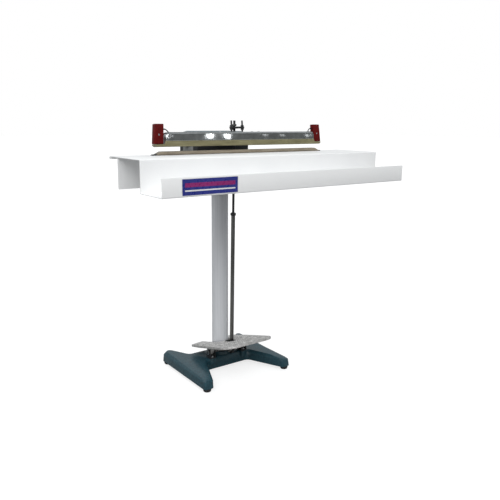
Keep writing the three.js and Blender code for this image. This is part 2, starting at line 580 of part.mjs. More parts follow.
function jawCover() {
  const { y0, y1, bottom, top, sheet } = COVER;
  const outer = [[y0, bottom], [y1, bottom], [y1, top, 5], [y0, top, 5]];
  const inner = [[y0 + sheet, bottom - 1], [y1 - sheet, bottom - 1], [y1 - sheet, top - sheet, 3],
    [y0 + sheet, top - sheet, 3]];
  const long = UPPER.x + 0.5;
  const channel = cut(bar(outline(outer), [-long, long]), bar(outline(inner), [-long - 5, long + 5]));
  const ends = roundEnded(long, [y0 - 10, y1 + 10], [bottom - 2, top], COVER.endRadius);
  return toGeometry(toSolid(channel).intersect(toSolid(ends)));
}
add('jaw_cover', jawCover(), 'chrome', arm);

for (const [name, side] of SIDES) {
  const capOutline = ([x0, x1], inset) =>
    rectangle(...sorted(side * x0, side * x1), CAP.y0 + inset, CAP.y1 - inset, 3);
  add(`end_cap_${name}`,
    drafted(capOutline(CAP.lowX, 0), capOutline(CAP.highX, 1), [CAP.bottom, CAP.top]), 'red', arm);

  const leadY = (CAP.y0 + CAP.y1) / 2;
  const leadPoints = [[2, 865], [8, 865.5], [14, 862], [17, COVER.top + 1.5]];
  const leadPath = new THREE.CatmullRomCurve3(
    leadPoints.map(([inward, z]) => new THREE.Vector3(side * (CAP.highX[0] + 1 - inward), leadY, z)));
  add(`jaw_lead_${name}`, tube(leadPath, 1.7, 8, 12), 'blackPlastic', arm);

  const stud = [
    rod('z', STUD.radius, [STUD.bottom, STUD.top], [0, 0], 16),
    ...STUD.nuts.map((zs) => hexNut(STUD.nutFlats, zs)),
  ];
  add(`yoke_stud_${name}`, join(...stud).translate(side * YOKE.studX, YOKE.studY, 0), 'darkSteel', arm);
}

const yokeOutline = [
  [-YOKE.x, YOKE.y0, 4], [YOKE.x, YOKE.y0, 4], [YOKE.x, YOKE.y1, 4], [YOKE.tabX, YOKE.y1],
  [YOKE.tabX, YOKE.tabY, 4], [-YOKE.tabX, YOKE.tabY, 4], [-YOKE.tabX, YOKE.y1], [-YOKE.x, YOKE.y1, 4],
];
add('yoke', cut(
  plate(outline(yokeOutline), [YOKE.bottom, YOKE.top]),
  plate(outline(rectangle(-5, 5, -72, -60, 4)), [YOKE.bottom - 1, YOKE.top + 1]),
  ...SIDES.map(([, side]) => rod('z', STUD.radius + GAP, [860, 880], [side * YOKE.studX, YOKE.studY], 16)),
), 'darkSteel', arm);

export default sealer;
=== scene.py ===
"""Looks for the impulse heat sealer: finished surfaces, fasteners, threads, cloth and a studio."""
import json
import math
import random

import bmesh
import bpy
import numpy as np
from mathutils import Matrix, Vector
from mathutils.bvhtree import BVHTree

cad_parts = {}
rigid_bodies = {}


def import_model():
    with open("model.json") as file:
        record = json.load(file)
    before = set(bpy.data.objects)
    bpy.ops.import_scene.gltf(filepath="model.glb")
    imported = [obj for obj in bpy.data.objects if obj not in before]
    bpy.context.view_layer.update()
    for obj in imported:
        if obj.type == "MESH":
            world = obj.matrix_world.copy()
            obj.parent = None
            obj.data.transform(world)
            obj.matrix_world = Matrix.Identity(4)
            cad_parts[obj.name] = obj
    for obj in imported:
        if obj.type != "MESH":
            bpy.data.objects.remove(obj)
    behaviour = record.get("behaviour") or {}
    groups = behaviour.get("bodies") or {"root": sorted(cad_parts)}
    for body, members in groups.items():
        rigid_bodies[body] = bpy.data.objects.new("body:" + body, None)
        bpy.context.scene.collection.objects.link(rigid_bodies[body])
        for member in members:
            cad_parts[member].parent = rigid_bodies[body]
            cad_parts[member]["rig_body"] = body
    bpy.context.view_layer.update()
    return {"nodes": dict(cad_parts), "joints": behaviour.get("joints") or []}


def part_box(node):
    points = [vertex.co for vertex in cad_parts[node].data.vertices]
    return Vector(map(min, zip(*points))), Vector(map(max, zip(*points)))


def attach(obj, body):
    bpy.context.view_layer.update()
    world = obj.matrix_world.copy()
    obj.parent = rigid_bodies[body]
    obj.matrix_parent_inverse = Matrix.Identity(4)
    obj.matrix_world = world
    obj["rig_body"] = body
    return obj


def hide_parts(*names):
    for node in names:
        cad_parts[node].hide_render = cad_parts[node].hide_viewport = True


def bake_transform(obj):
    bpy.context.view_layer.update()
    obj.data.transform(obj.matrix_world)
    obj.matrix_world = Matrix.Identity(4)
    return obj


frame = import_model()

MM = 0.001
JOINTS = {joint["name"]: joint for joint in frame["joints"]}
SIDES = (("left", -1), ("right", 1))
LEFT, RIGHT = (-1, 0, 0), (1, 0, 0)
FRONT, REAR = (0, -1, 0), (0, 1, 0)
DOWN, UP = (0, 0, -1), (0, 0, 1)
STILL = Matrix.Identity(4)


# ---- local frames of the moving assemblies
def turned_about_x(pivot, angle):
    return Matrix.Translation(pivot) @ Matrix.Rotation(angle, 4, "X") @ Matrix.Translation(-Vector(pivot))


def local_box(node, place):
    """A CAD node's box in a turned frame."""
    inverse = place.inverted()
    points = np.array([inverse @ v.co for v in frame["nodes"][node].data.vertices])
    return Vector(points.min(0)), Vector(points.max(0))


def box_middle(node, x=None, y=None, z=None):
    """The middle of a CAD node's box, moved onto the x, y or z that is given."""
    low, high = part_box(node)
    return Vector([(a + b) / 2 if given is None else given for given, a, b in zip((x, y, z), low, high)])


def facing(point, direction):
    """A frame at point whose Z axis points along direction."""
    return Matrix.Translation(point) @ Vector(direction).to_track_quat("Z", "Y").to_matrix().to_4x4()


JAW_OPEN = math.radians(JOINTS["jaw_hinge"]["range_deg"][1])
ARM = turned_about_x(JOINTS["jaw_hinge"]["pos_m"], -JAW_OPEN)  # from the closed jaw's flat position to rest

plate_faces = [p for p in frame["nodes"]["pedal_plate"].data.polygons if p.normal.z > 0.5]
PEDAL_NORMAL = max(plate_faces, key=lambda p: p.area).normal.copy()
PEDAL_TILT = math.atan2(PEDAL_NORMAL.y, PEDAL_NORMAL.z)
PEDAL = Matrix.Translation(JOINTS["pedal_hinge"]["pos_m"]) @ Matrix.Rotation(-PEDAL_TILT, 4, "X")

ROD_UP = -Vector(JOINTS["rod_slide"]["axis"])
ROD_LEAN = math.atan2(-ROD_UP.y, ROD_UP.z)
ROD_EYE_RADIUS = 11 * MM
ROD_FOOT = box_middle("rod_eye", x=0, z=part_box("rod_eye")[0].z + ROD_EYE_RADIUS)
ROD = Matrix.Translation(ROD_FOOT) @ Matrix.Rotation(ROD_LEAN, 4, "X")


# ---- materials
class Patterns:
    """Procedural patterns in one node tree."""

    def __init__(self, tree):
        self.nodes, self.links = tree.nodes, tree.links
        self.coordinates = self.nodes.new("ShaderNodeTexCoord").outputs
        self.place = self.coordinates["Object"]

    def fill(self, socket, value):
        """A socket linked to another one, or set to a plain value."""
        if isinstance(value, bpy.types.NodeSocket):
            self.links.new(value, socket)
        else:
            socket.default_value = value

    def add(self, kind, output, **inputs):
        """The output of a new node, whose inputs are named with _ for each space."""
        node = self.nodes.new(kind)
        for name, value in inputs.items():
            self.fill(node.inputs[name.replace("_", " ")], value)
        return node.outputs[output]

    def noise(self, scale, detail=4.0, stretch=None):
        place = self.place
        if stretch:
            place = self.add("ShaderNodeMapping", "Vector", Vector=place, Scale=stretch)
        return self.add("ShaderNodeTexNoise", "Fac", Vector=place, Scale=scale, Detail=detail, Roughness=0.55)

    def cells(self, scale, feature="SMOOTH_F1"):
        value = self.add("ShaderNodeTexVoronoi", "Distance", Vector=self.place, Scale=scale)
        value.node.feature = feature
        return value

    def lines(self, scale, direction):
        value = self.add("ShaderNodeTexWave", "Fac", Vector=self.place, Scale=scale)
        value.node.bands_direction = direction
        return value

    def ramp(self, value, *stops):
        node = self.nodes.new("ShaderNodeValToRGB")
        self.links.new(value, node.inputs["Fac"])
        elements = node.color_ramp.elements
        while len(elements) < len(stops):
            elements.new(0.5)
        for element, (position, color) in zip(elements, stops):
            element.position = position
            element.color = (*color, 1)
        return node.outputs["Color"]

    def mix(self, first, second, factor):
        """Two colours mixed; a Mix node keeps its factor at input 0 and its colours at 6 and 7."""
        node = self.nodes.new("ShaderNodeMix")
        node.data_type = "RGBA"
        self.fill(node.inputs[0], factor)
        for index, color in ((6, first), (7, second)):
            self.fill(node.inputs[index], (*color, 1) if isinstance(color, tuple) else color)
        return node.outputs[2]

    def levels(self, value, low, high, source=(0.0, 1.0)):
        """A value's source range brought between low and high."""
        return self.add("ShaderNodeMapRange", "Result", Value=value, From_Min=source[0], From_Max=source[1],
                        To_Min=low, To_Max=high)


class Surface(Patterns):
    """A Principled material whose colour, roughness and bump come from patterns in the row frame."""

    def __init__(self, name, **sockets):
        self.material = bpy.data.materials.new(name)
        self.material.use_nodes = True
        super().__init__(self.material.node_tree)
        self.shader = self.nodes["Principled BSDF"]
        for socket, value in sockets.items():
            self.shader.inputs[socket.replace("_", " ")].default_value = value
        self.normal = None

    def color(self, socket):
        self.links.new(socket, self.shader.inputs["Base Color"])
        return self

    def rough(self, value, low, high):
        self.links.new(self.levels(value, low, high), self.shader.inputs["Roughness"])
        return self

    def bump(self, height, depth, strength=1.0):
        result = self.add("ShaderNodeBump", "Normal", Height=height, Distance=depth, Strength=strength)
        if self.normal is not None:
            self.links.new(self.normal, result.node.inputs["Normal"])
        self.normal = result
        self.links.new(result, self.shader.inputs["Normal"])
        return self


def grey(level):
    return (level, level, level)


def worn(surface, finish, bare, sharpness):
    """The finish rubbed through to a bare tone on outside corners, in patches."""
    edge = surface.levels(surface.add("ShaderNodeNewGeometry", "Pointiness"), 0.0, 1.0, sharpness)
    patches = surface.ramp(surface.noise(70, 5), (0.42, grey(0)), (0.6, grey(1)))
    return surface.mix(finish, bare, surface.mix(grey(0), patches, edge))


def hammertone():
    s = Surface("hammertone_enamel", Coat_Weight=0.3, Coat_Roughness=0.2)
    dimples, blotches, scuffs = s.cells(190), s.noise(9, 3), s.noise(38, 6)
    enamel = s.ramp(dimples, (0.0, (0.018, 0.078, 0.100)), (0.5, (0.007, 0.042, 0.060)),
                    (1.0, (0.003, 0.020, 0.031)))
    faded = s.mix(enamel, (0.010, 0.050, 0.068), s.levels(blotches, 0.0, 0.5))
    dusty = s.ramp(scuffs, (0.55, grey(0)), (0.8, grey(0.35)))
    s.color(s.mix(faded, (0.07, 0.12, 0.14), dusty)).rough(s.noise(60), 0.3, 0.5)
    return s.bump(dimples, 0.0010, 0.5).material


def column_paint():
    s = Surface("column_silver_paint", Metallic=0.05, Specular_IOR_Level=0.2)
    streaks = s.noise(30, 3, stretch=(6, 6, 0.12))
    s.color(s.ramp(streaks, (0.25, (0.70, 0.715, 0.745)), (0.75, (0.80, 0.815, 0.845))))
    s.rough(s.noise(25), 0.42, 0.55)
    return s.bump(s.noise(700, 2), 0.00012).material


def burnished_steel():
    s = Surface("burnished_steel", Metallic=1.0, Anisotropic=0.5)
    streaks, stains = s.noise(40, 4, stretch=(8, 8, 0.15)), s.noise(14, 3)
    steel = s.ramp(streaks, (0.3, (0.13, 0.13, 0.128)), (0.7, (0.34, 0.34, 0.335)))
    s.color(s.mix(steel, (0.10, 0.097, 0.09), s.levels(stains, 0.0, 0.55))).rough(streaks, 0.2, 0.4)
    return s.bump(s.noise(900, 2, stretch=(1, 1, 6)), 0.00006).material


def black_oxide():
    s = Surface("black_oxide_steel", Metallic=0.8)
    s.color(s.ramp(s.noise(180, 4), (0.3, (0.030, 0.030, 0.032)), (0.8, (0.11, 0.11, 0.115))))
    s.rough(s.noise(90), 0.28, 0.46)
    return s.bump(s.noise(600), 0.00008).material


def zinc_plate():
    s = Surface("zinc_plated_screws", Metallic=1.0)
    s.color(s.ramp(s.noise(240, 3), (0.3, (0.42, 0.43, 0.44)), (0.8, (0.68, 0.69, 0.71))))
    return s.rough(s.noise(150), 0.2, 0.4).material


def sand_cast():
    s = Surface("sand_cast_aluminium", Metallic=0.45)
    pebbles, pits, scuffs = s.cells(420), s.noise(260, 5), s.noise(22, 6)
    clean = s.ramp(pits, (0.3, (0.33, 0.325, 0.315)), (0.5, (0.47, 0.465, 0.455)),
                   (0.75, (0.55, 0.545, 0.53)))
    stained = s.mix(clean, (0.27, 0.265, 0.26), s.levels(scuffs, 0.0, 0.4))
    s.color(worn(s, stained, (0.74, 0.73, 0.72), (0.5, 0.56))).rough(pits, 0.38, 0.62)
    return s.bump(pebbles, 0.0007, 0.6).bump(pits, 0.0003).material


def machined_aluminium():
    s = Surface("extruded_aluminium", Metallic=1.0, Anisotropic=0.4)
    grain = s.noise(60, 4, stretch=(0.1, 9, 9))
    s.color(s.ramp(grain, (0.3, grey(0.46)), (0.7, grey(0.66)))).rough(grain, 0.26, 0.42)
    return s.bump(grain, 0.00005).material


def chrome_plate():
    s = Surface("chrome_plate", Metallic=1.0)
    smudges = s.noise(45, 5)
    s.color(s.ramp(smudges, (0.35, (0.60, 0.63, 0.64)), (0.7, (0.76, 0.79, 0.80)))).rough(smudges, 0.03, 0.1)
    return s.bump(s.noise(11, 1, stretch=(1, 2.5, 2.5)), 0.00010).bump(s.noise(34, 2), 0.00002).material


def powder_coat(name, dark, light, grain=1100, rough=(0.36, 0.5)):
    s = Surface(name, Coat_Weight=0.08, Coat_Roughness=0.35)
    s.color(s.ramp(s.noise(7, 5), (0.3, dark), (0.7, light))).rough(s.noise(40), *rough)
    return s.bump(s.noise(grain, 2), 0.00015).material


def ptfe_cloth(name, stained, clean, pale):
    s = Surface(name, Coat_Weight=0.1, Coat_Roughness=0.3)
    weave = s.mix(s.lines(300, "X"), s.lines(300, "Z"), 0.5)
    stains = s.noise(26, 5, stretch=(0.6, 3, 3))
    tan = s.ramp(stains, (0.25, stained), (0.55, clean), (0.85, pale))
    s.color(s.mix(tan, stained, s.levels(s.noise(900, 1), 0.0, 0.3))).rough(stains, 0.34, 0.55)
    return s.bump(weave, 0.00012, 0.7).material


def moulded(name, dark, light, rough=(0.3, 0.45), grain=1400, depth=0.0001, **sockets):
    s = Surface(name, **sockets)
    s.color(s.ramp(s.noise(55, 4), (0.3, dark), (0.75, light))).rough(s.noise(120), *rough)
    return s.bump(s.noise(grain, 2), depth).material


def label_film(color_name, dark, light):
    return moulded(f"label_{color_name}_film", dark, light, (0.22, 0.34), 900, 0.00003)


def winding():
    s = Surface("enamelled_copper", Metallic=0.85, Coat_Weight=0.5, Coat_Roughness=0.12)
    strands = s.lines(320, "Z")
    s.color(s.ramp(strands, (0.1, (0.18, 0.06, 0.025)), (0.8, (0.56, 0.22, 0.09))))
    return s.rough(s.noise(80), 0.22, 0.4).bump(strands, 0.0004).material


def laminations():
    s = Surface("varnished_laminations", Metallic=0.7, Coat_Weight=0.3, Coat_Roughness=0.2)
    edges = s.lines(300, "Y")
    s.color(s.ramp(edges, (0.1, (0.03, 0.03, 0.034)), (0.8, (0.12, 0.12, 0.13))))
    return s.rough(s.noise(70), 0.3, 0.5).bump(edges, 0.0002).material


def solder_mask():
    s = Surface("green_solder_mask", Coat_Weight=0.4, Coat_Roughness=0.15)
    traces = s.cells(160, "F1")
    s.color(s.ramp(traces, (0.35, (0.02, 0.10, 0.04)), (0.5, (0.035, 0.17, 0.07))))
    return s.rough(s.noise(90), 0.25, 0.4).bump(traces, 0.0001).material


LOOKS = {
    "hammertone_paint": hammertone(),
    "foot_rubber": moulded("black_rubber", grey(0.012), grey(0.03), (0.6, 0.85), 500, 0.0002),
    "column_paint": column_paint(),
    "bright_steel": burnished_steel(),
    "black_steel": black_oxide(),
    "zinc": zinc_plate(),
    "cast_aluminium": sand_cast(),
    "jaw_aluminium": machined_aluminium(),
    "jaw_chrome": chrome_plate(),
    "black_paint": powder_coat("black_powder_coat", (0.006, 0.007, 0.008), (0.014, 0.015, 0.017), 800,
                               (0.32, 0.48)),
    "panel_grey": powder_coat("grey_powder_coat", (0.17, 0.175, 0.17), (0.23, 0.235, 0.23)),
    "white_paint": powder_coat("white_powder_coat", (0.88, 0.885, 0.89), (0.92, 0.925, 0.925)),
    "ptfe_cloth": ptfe_cloth("ptfe_glass_cloth", (0.13, 0.115, 0.055), (0.22, 0.20, 0.105),
                             (0.33, 0.31, 0.19)),
    # A paler copy of the glass cloth for the lower jaw: partly the cloth's own paler tone, partly painted
    # light on its upward face.
    "pale_cloth": ptfe_cloth("ptfe_glass_cloth_pale_painted_lit", (0.20, 0.165, 0.12), (0.30, 0.255, 0.19),
                             (0.42, 0.37, 0.30)),
    "red_plastic": moulded("gloss_red_moulding", (0.080, 0.003, 0.003), (0.13, 0.006, 0.006), (0.25, 0.4),
                           300, 0.00012, Specular_IOR_Level=0.18),
    "black_plastic": moulded("black_moulding", (0.010, 0.010, 0.011), (0.024, 0.024, 0.026)),
    "lamp_lens": moulded("amber_lens", (0.55, 0.07, 0.015), (0.72, 0.12, 0.03), (0.06, 0.14), 200, 0.0002,
                         Coat_Weight=0.6),
    "copper_winding": winding(),
    "core_steel": laminations(),
    "circuit_board": solder_mask(),
    "nichrome": machined_aluminium(),
    "label_blue": label_film("blue", (0.022, 0.032, 0.21), (0.034, 0.044, 0.27)),
    "label_white": label_film("white", grey(0.78), grey(0.86)),
    "label_pink": label_film("magenta", (0.24, 0.020, 0.14), (0.31, 0.028, 0.18)),
}


# ---- objects
def new_object(name, data):
    made = bpy.data.objects.new(name, data)
    bpy.context.scene.collection.objects.link(made)
    return made


def mesh_object(name, mesh):
    """A new object with the bmesh's shape; the bmesh is freed."""
    data = bpy.data.meshes.new(name)
    mesh.to_mesh(data)
    mesh.free()
    return new_object(name, data)


def smoothed(made, sharp):
    """Smooth shading, broken at edges past the sharp angle in degrees."""
    for polygon in made.data.polygons:
        polygon.use_smooth = True
    made.data.set_sharp_from_angle(angle=math.radians(sharp))


def piece(name, mesh, looks, body, replaces=(), sharp=30):
    """A finished object from a bmesh, riding on its body."""
    bmesh.ops.recalc_face_normals(mesh, faces=mesh.faces)
    made = mesh_object(name, mesh)
    smoothed(made, sharp)
    looks = [looks] if isinstance(looks, str) else looks
    for look in looks:
        made.data.materials.append(LOOKS[look])
    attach(made, body)
    if replaces:
        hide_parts(*replaces)
    return made


def fasteners(name, mesh, body="frame"):
    """Plated screws, bolts or clips as one piece."""
    piece(name, mesh, "zinc", body)


def applied(made):
    """Works the object's modifiers into its mesh."""
    graph = bpy.context.evaluated_depsgraph_get()
    data = bpy.data.meshes.new_from_object(made.evaluated_get(graph))
    made.modifiers.clear()
    made.data = data


def rounded(made, width, segments, sharp):
    """Rounds the object's edges past the sharp angle in degrees."""
    rounding = made.modifiers.new("edge_rounding", "BEVEL")
    rounding.width, rounding.segments = width, segments
    rounding.limit_method = "ANGLE"
    rounding.angle_limit = math.radians(sharp)
    applied(made)


def finished(node, look, bevel=0.6 * MM, segments=2, sharp=35, flat=False):
    """A CAD node's own shape with its edges rounded as the real part's are.

    flat keeps the large faces' shading flat right up to their rounded edges, as on plated sheet.
    """
    source = frame["nodes"][node]
    mesh = bmesh.new()
    mesh.from_mesh(source.data)
    bmesh.ops.remove_doubles(mesh, verts=mesh.verts, dist=1e-6)
    bmesh.ops.dissolve_limit(mesh, angle_limit=math.radians(1), verts=mesh.verts, edges=mesh.edges)
    made = piece(f"{node}_finished", mesh, look, source["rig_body"], [node], sharp=sharp)
    rounded(made, bevel, segments, sharp)
    smoothed(made, 50)
    if flat:
        made.modifiers.new("flat_faces", "WEIGHTED_NORMAL").keep_sharp = True
        applied(made)


# ---- mesh building
def mm(*points):
    """Points given in millimetres."""
    return [(x * MM, y * MM) for x, y in points]


def circle(radius, count, start=0.0):
    angles = [start + 2 * math.pi * i / count for i in range(count)]
    return [(radius * math.cos(angle), radius * math.sin(angle)) for angle in angles]


def rounded_rectangle(x0, x1, y0, y1, radius, steps=5, inset=0.0):
    """The outline of a rectangle with round corners, moved inwards by inset."""
    x0, x1, y0, y1 = x0 + inset, x1 - inset, y0 + inset, y1 - inset
    points = []
    for cx, cy, start in ((x1 - radius, y1 - radius, 0), (x0 + radius, y1 - radius, 90),
                          (x0 + radius, y0 + radius, 180), (x1 - radius, y0 + radius, 270)):
        for i in range(steps + 1):
            angle = math.radians(start + 90 * i / steps)
            points.append((cx + radius * math.cos(angle), cy + radius * math.sin(angle)))
    return points


def add_corners(mesh, outline, height, place=STILL):
    """The corners of an (x, y) outline at a height."""
    return [mesh.verts.new(place @ Vector((x, y, height))) for x, y in outline]


def add_walls(mesh, rings, looped=False, material=0):
    """Faces between each ring of corners and the next, and from the last back to the first if looped."""
    for under, over in zip(rings, rings[1:] + rings[:1] * looped):
        for i in range(len(under)):
            j = (i + 1) % len(under)
            mesh.faces.new((under[i], under[j], over[j], over[i])).material_index = material


def add_ends(mesh, rings, material=0):
    """The faces that close the first ring and the last."""
    mesh.faces.new(rings[0][::-1]).material_index = material
    mesh.faces.new(rings[-1]).material_index = material


def add_box(mesh, place, size):
    bmesh.ops.create_cube(mesh, size=1, matrix=place @ Matrix.Diagonal((*size, 1)))


def add_lathe(mesh, profile, place=STILL, steps=32):
    """A solid of revolution about the place's Z axis from (radius, height) points, closed to the axis."""
    (first, low), (last, high) = profile[0], profile[-1]
    profile = [(0, low)] * (first > 0) + profile + [(0, high)] * (last > 0)
    rings = [add_corners(mesh, circle(radius, steps if radius else 1), height, place)
             for radius, height in profile]
    for under, over in zip(rings, rings[1:]):
        for i in range(max(len(under), len(over))):
            corners = [under[i % len(under)], under[(i + 1) % len(under)],
                       over[(i + 1) % len(over)], over[i % len(over)]]
            unique = list(dict.fromkeys(corners))
            if len(unique) > 2:
                mesh.faces.new(unique)


def add_ring(mesh, profile, place, steps):
    """A ring of revolution from a closed (radius, height) profile that stays off the axis."""
    rings = [add_corners(mesh, circle(radius, steps), height, place) for radius, height in profile]
    add_walls(mesh, rings, looped=True)


def add_slab(mesh, outline, low, high, place, material):
    """A flat slab: an (x, y) outline between two heights."""
    rings = [add_corners(mesh, outline, height, place) for height in (low, high)]
    add_ends(mesh, rings, material)
    add_walls(mesh, rings, material=material)


def add_hex(mesh, flats, low, high, place):
    """A hexagon head or nut with its corners chamfered at both ends."""
    corner, chamfer = flats / math.sqrt(3), 0.08 * flats
    rings = [add_corners(mesh, circle(corner * share, 6, math.pi / 6), height, place)
             for height, share in ((low, 0.9), (low + chamfer, 1), (high - chamfer, 1), (high, 0.9))]
    add_ends(mesh, rings)
    add_walls(mesh, rings)


def add_thread(mesh, radius, low, high, place, pitch=1.25 * MM):
    """A threaded length, as a solid of revolution with one ridge for each turn."""
    profile = [(radius * 0.86, low)]
    ridges = max(2, round((high - low - pitch) / pitch))
    for ridge in range(ridges):
        start = low + 0.5 * pitch + ridge * (high - low - pitch) / ridges
        profile += [(radius * 0.88, start), (radius, start + pitch * 0.45),
                    (radius * 0.88, start + pitch * 0.85)]
    add_lathe(mesh, [*profile, (radius * 0.8, high)], place, 16)


def add_tube(mesh, points, radius, sides):
    """A closed round tube along a path of points, with its frame carried along without twist."""
    normal = (points[1] - points[0]).normalized().orthogonal().normalized()
    rings = []
    for i, point in enumerate(points):
        tangent = (points[min(i + 1, len(points) - 1)] - points[max(i - 1, 0)]).normalized()
        normal = (normal - tangent * normal.dot(tangent)).normalized()
        side = tangent.cross(normal)
        rings.append([mesh.verts.new(point + radius * (math.cos(2 * math.pi * k / sides) * normal
                                                       + math.sin(2 * math.pi * k / sides) * side))
                      for k in range(sides)])
    add_walls(mesh, rings)
    add_ends(mesh, rings)


def cross_head_template():
    """A pan head of radius 1 with a cross recess, as (vertices, faces)."""
    dome = bmesh.new()
    add_lathe(dome, [(0.96, 0), (1, 0.08), (0.97, 0.28), (0.84, 0.46), (0.6, 0.56), (0, 0.62)], steps=24)
    bmesh.ops.recalc_face_normals(dome, faces=dome.faces)
    recess = bmesh.new()
    for turn in (0, 1):
        place = Matrix.Rotation(turn * math.pi / 2, 4, "Z") @ Matrix.Translation((0, 0, 0.75))
        add_box(recess, place, (1.1, 0.2, 1.0 + 0.01 * turn))
    head, cutter = mesh_object("head_template", dome), mesh_object("recess_template", recess)
    cutting = head.modifiers.new("recess", "BOOLEAN")
    cutting.object = cutter
    cutting.solver = "EXACT"
    cutting.use_self = True
    bpy.context.view_layer.update()
    applied(head)
    shape = [v.co.copy() for v in head.data.vertices], [tuple(p.vertices) for p in head.data.polygons]
    for template in (head, cutter):
        bpy.data.objects.remove(template)
    return shape


CROSS_HEAD = cross_head_template()
turns = random.Random(7)


def add_screw(mesh, point, direction, radius, place=STILL):
    """A pan-head screw standing on a surface, its recess turned at random."""
    spin = Matrix.Rotation(turns.uniform(0, math.pi), 4, "Z")
    seat = place @ facing(point, direction) @ spin @ Matrix.Scale(radius, 4)
    vertices = [mesh.verts.new(seat @ v) for v in CROSS_HEAD[0]]
    for face in CROSS_HEAD[1]:
        mesh.faces.new([vertices[i] for i in face])


def add_bolt(mesh, point, direction, flats, place=STILL):
    """A hexagon bolt head on its washer."""
    seat = place @ facing(point, direction)
    add_lathe(mesh, [(flats * 0.78, 0), (flats * 0.78, 0.8 * MM), (flats * 0.7, 1.2 * MM)], seat, 24)
    add_hex(mesh, flats, 1.25 * MM, 1.25 * MM + flats * 0.55, seat)


# ---- base and column
finished("base_casting", "hammertone_paint", 4 * MM, 3, sharp=28)
finished("column_tube", "column_paint", 0.5 * MM, 2)


def rubber_foot(node):
    low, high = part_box(node)
    radius, height = (high.x - low.x) / 2, high.z - low.z
    profile = [(0.3 * radius, 1.5 * MM), (0.34 * radius, 0), (0.8 * radius, 0), (0.88 * radius, 0.8 * MM),
               (0.96 * radius, 0.3 * height), (radius, 0.45 * height), (0.97 * radius, 0.55 * height),
               (radius, 0.65 * height), (radius, 0.9 * height), (0.94 * radius, height)]
    mesh = bmesh.new()
    add_lathe(mesh, profile, Matrix.Translation(box_middle(node, z=low.z)), 40)
    piece(f"{node}_moulding", mesh, "foot_rubber", "frame", [node], sharp=50)


for row in ("front", "rear"):
    for side, _ in SIDES:
        rubber_foot(f"foot_{row}_{side}")


def column_ring():
    low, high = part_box("column_tube")
    _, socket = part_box("base_casting")
    radius = (high.x - low.x) / 2
    profile = [(radius + out, height) for out, height in mm((0.1, 0), (7, 0), (7, 1.5), (3, 4.5), (0.1, 5))]
    mesh = bmesh.new()
    add_ring(mesh, profile, Matrix.Translation(box_middle("column_tube", z=socket.z + 0.1 * MM)), 48)
    piece("column_seal_ring", mesh, "foot_rubber", "frame")


column_ring()
finished("column_set_screw", "black_steel", 0.6 * MM)

# ---- pedal
for side, _ in SIDES:
    finished(f"pedal_bracket_{side}", "black_paint", 0.7 * MM)
finished("pedal_shaft", "bright_steel", 0.8 * MM)
finished("pedal_plate", "cast_aluminium", 2.2 * MM, 3)
finished("rod_pin", "bright_steel", 0.6 * MM)

PEDAL_LOW, PEDAL_HIGH = local_box("pedal_plate", PEDAL)
ROD_SLOT_X, ROD_SLOT_Y = 9.5 * MM, (-50 * MM, -14 * MM)  # half width and ends, from the pedal's hinge


def pedal_studs():
    """Rows of small raised buttons over the plate's top, kept off its edges and openings."""
    source = bmesh.new()
    source.from_mesh(frame["nodes"]["pedal_plate"].data)
    surface = BVHTree.FromBMesh(source)
    source.free()
    top = PEDAL_HIGH.z
    radius, spacing, keep_off = 2.5 * MM, 8.2 * MM, 6.5 * MM
    button = [(radius, top - 0.2 * MM), (radius * 0.82, top + 0.6 * MM), (radius * 0.4, top + 0.95 * MM),
              (0, top + 1.0 * MM)]
    row_spacing = spacing * 0.87
    rows = int((PEDAL_HIGH.y - PEDAL_LOW.y) / row_spacing)
    columns = int((PEDAL_HIGH.x - PEDAL_LOW.x) / spacing)

    def on_top(x, y):
        start = PEDAL @ Vector((x, y, top + 20 * MM))
        hit, _, _, _ = surface.ray_cast(start, -PEDAL_NORMAL, 25 * MM)
        return hit is not None and abs((PEDAL.inverted() @ hit).z - top) < 0.2 * MM

    mesh = bmesh.new()
    for row in range(rows + 1):
        y = PEDAL_LOW.y + row * row_spacing
        for column in range(-columns // 2, columns // 2 + 1):
            x = (column + 0.5 * (row % 2)) * spacing
            around = [(x + dx, y + dy) for dx, dy in circle(keep_off, 8)]
            if all(on_top(*point) for point in [(x, y), *around]):
                add_lathe(mesh, button, PEDAL @ Matrix.Translation((x, y, 0)), 8)
    piece("pedal_tread_studs", mesh, "cast_aluminium", "pedal", sharp=60)


def pedal_slot_liner():
    """The dark rubber liner round the slot that the pull rod passes through."""
    mesh = bmesh.new()
    rings = []
    for out, height in mm((4.5, 0.1), (4.5, 1.6), (-1, 2.2), (-1, -6), (-0.2, -6), (-0.2, 0.1)):
        radius = ROD_SLOT_X + out - 0.5 * MM
        slot = rounded_rectangle(-ROD_SLOT_X, ROD_SLOT_X, *ROD_SLOT_Y, radius, 8, -out)
        rings.append(add_corners(mesh, slot, PEDAL_HIGH.z + height, PEDAL))
    add_walls(mesh, rings, looped=True)
    piece("rod_slot_liner", mesh, "foot_rubber", "pedal", sharp=45)


def shaft_clips():
    low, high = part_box("pedal_shaft")
    mesh = bmesh.new()
    for end, sign in ((low.x, -1), (high.x, 1)):
        seat = facing(box_middle("pedal_shaft", x=end - sign * 2.6 * MM), (sign, 0, 0))
        add_ring(mesh, mm((6.05, 0), (9, 0), (9, 1.2), (6.05, 1.2)), seat, 24)
    fasteners("shaft_retaining_rings", mesh)


def bracket_bolts():
    mesh = bmesh.new()
    for side, _ in SIDES:
        low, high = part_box(f"pedal_bracket_{side}")
        for y in (low.y + 5.5 * MM, high.y - 5.5 * MM):
            add_bolt(mesh, box_middle(f"pedal_bracket_{side}", y=y, z=low.z + 4.8 * MM), UP, 6.5 * MM)
    fasteners("bracket_bolts", mesh)


pedal_studs()
pedal_slot_liner()
shaft_clips()
bracket_bolts()

# ---- pull rod
finished("rod_eye", "black_steel", 1.2 * MM, 3)
finished("pull_rod_tube", "bright_steel", 0.5 * MM)


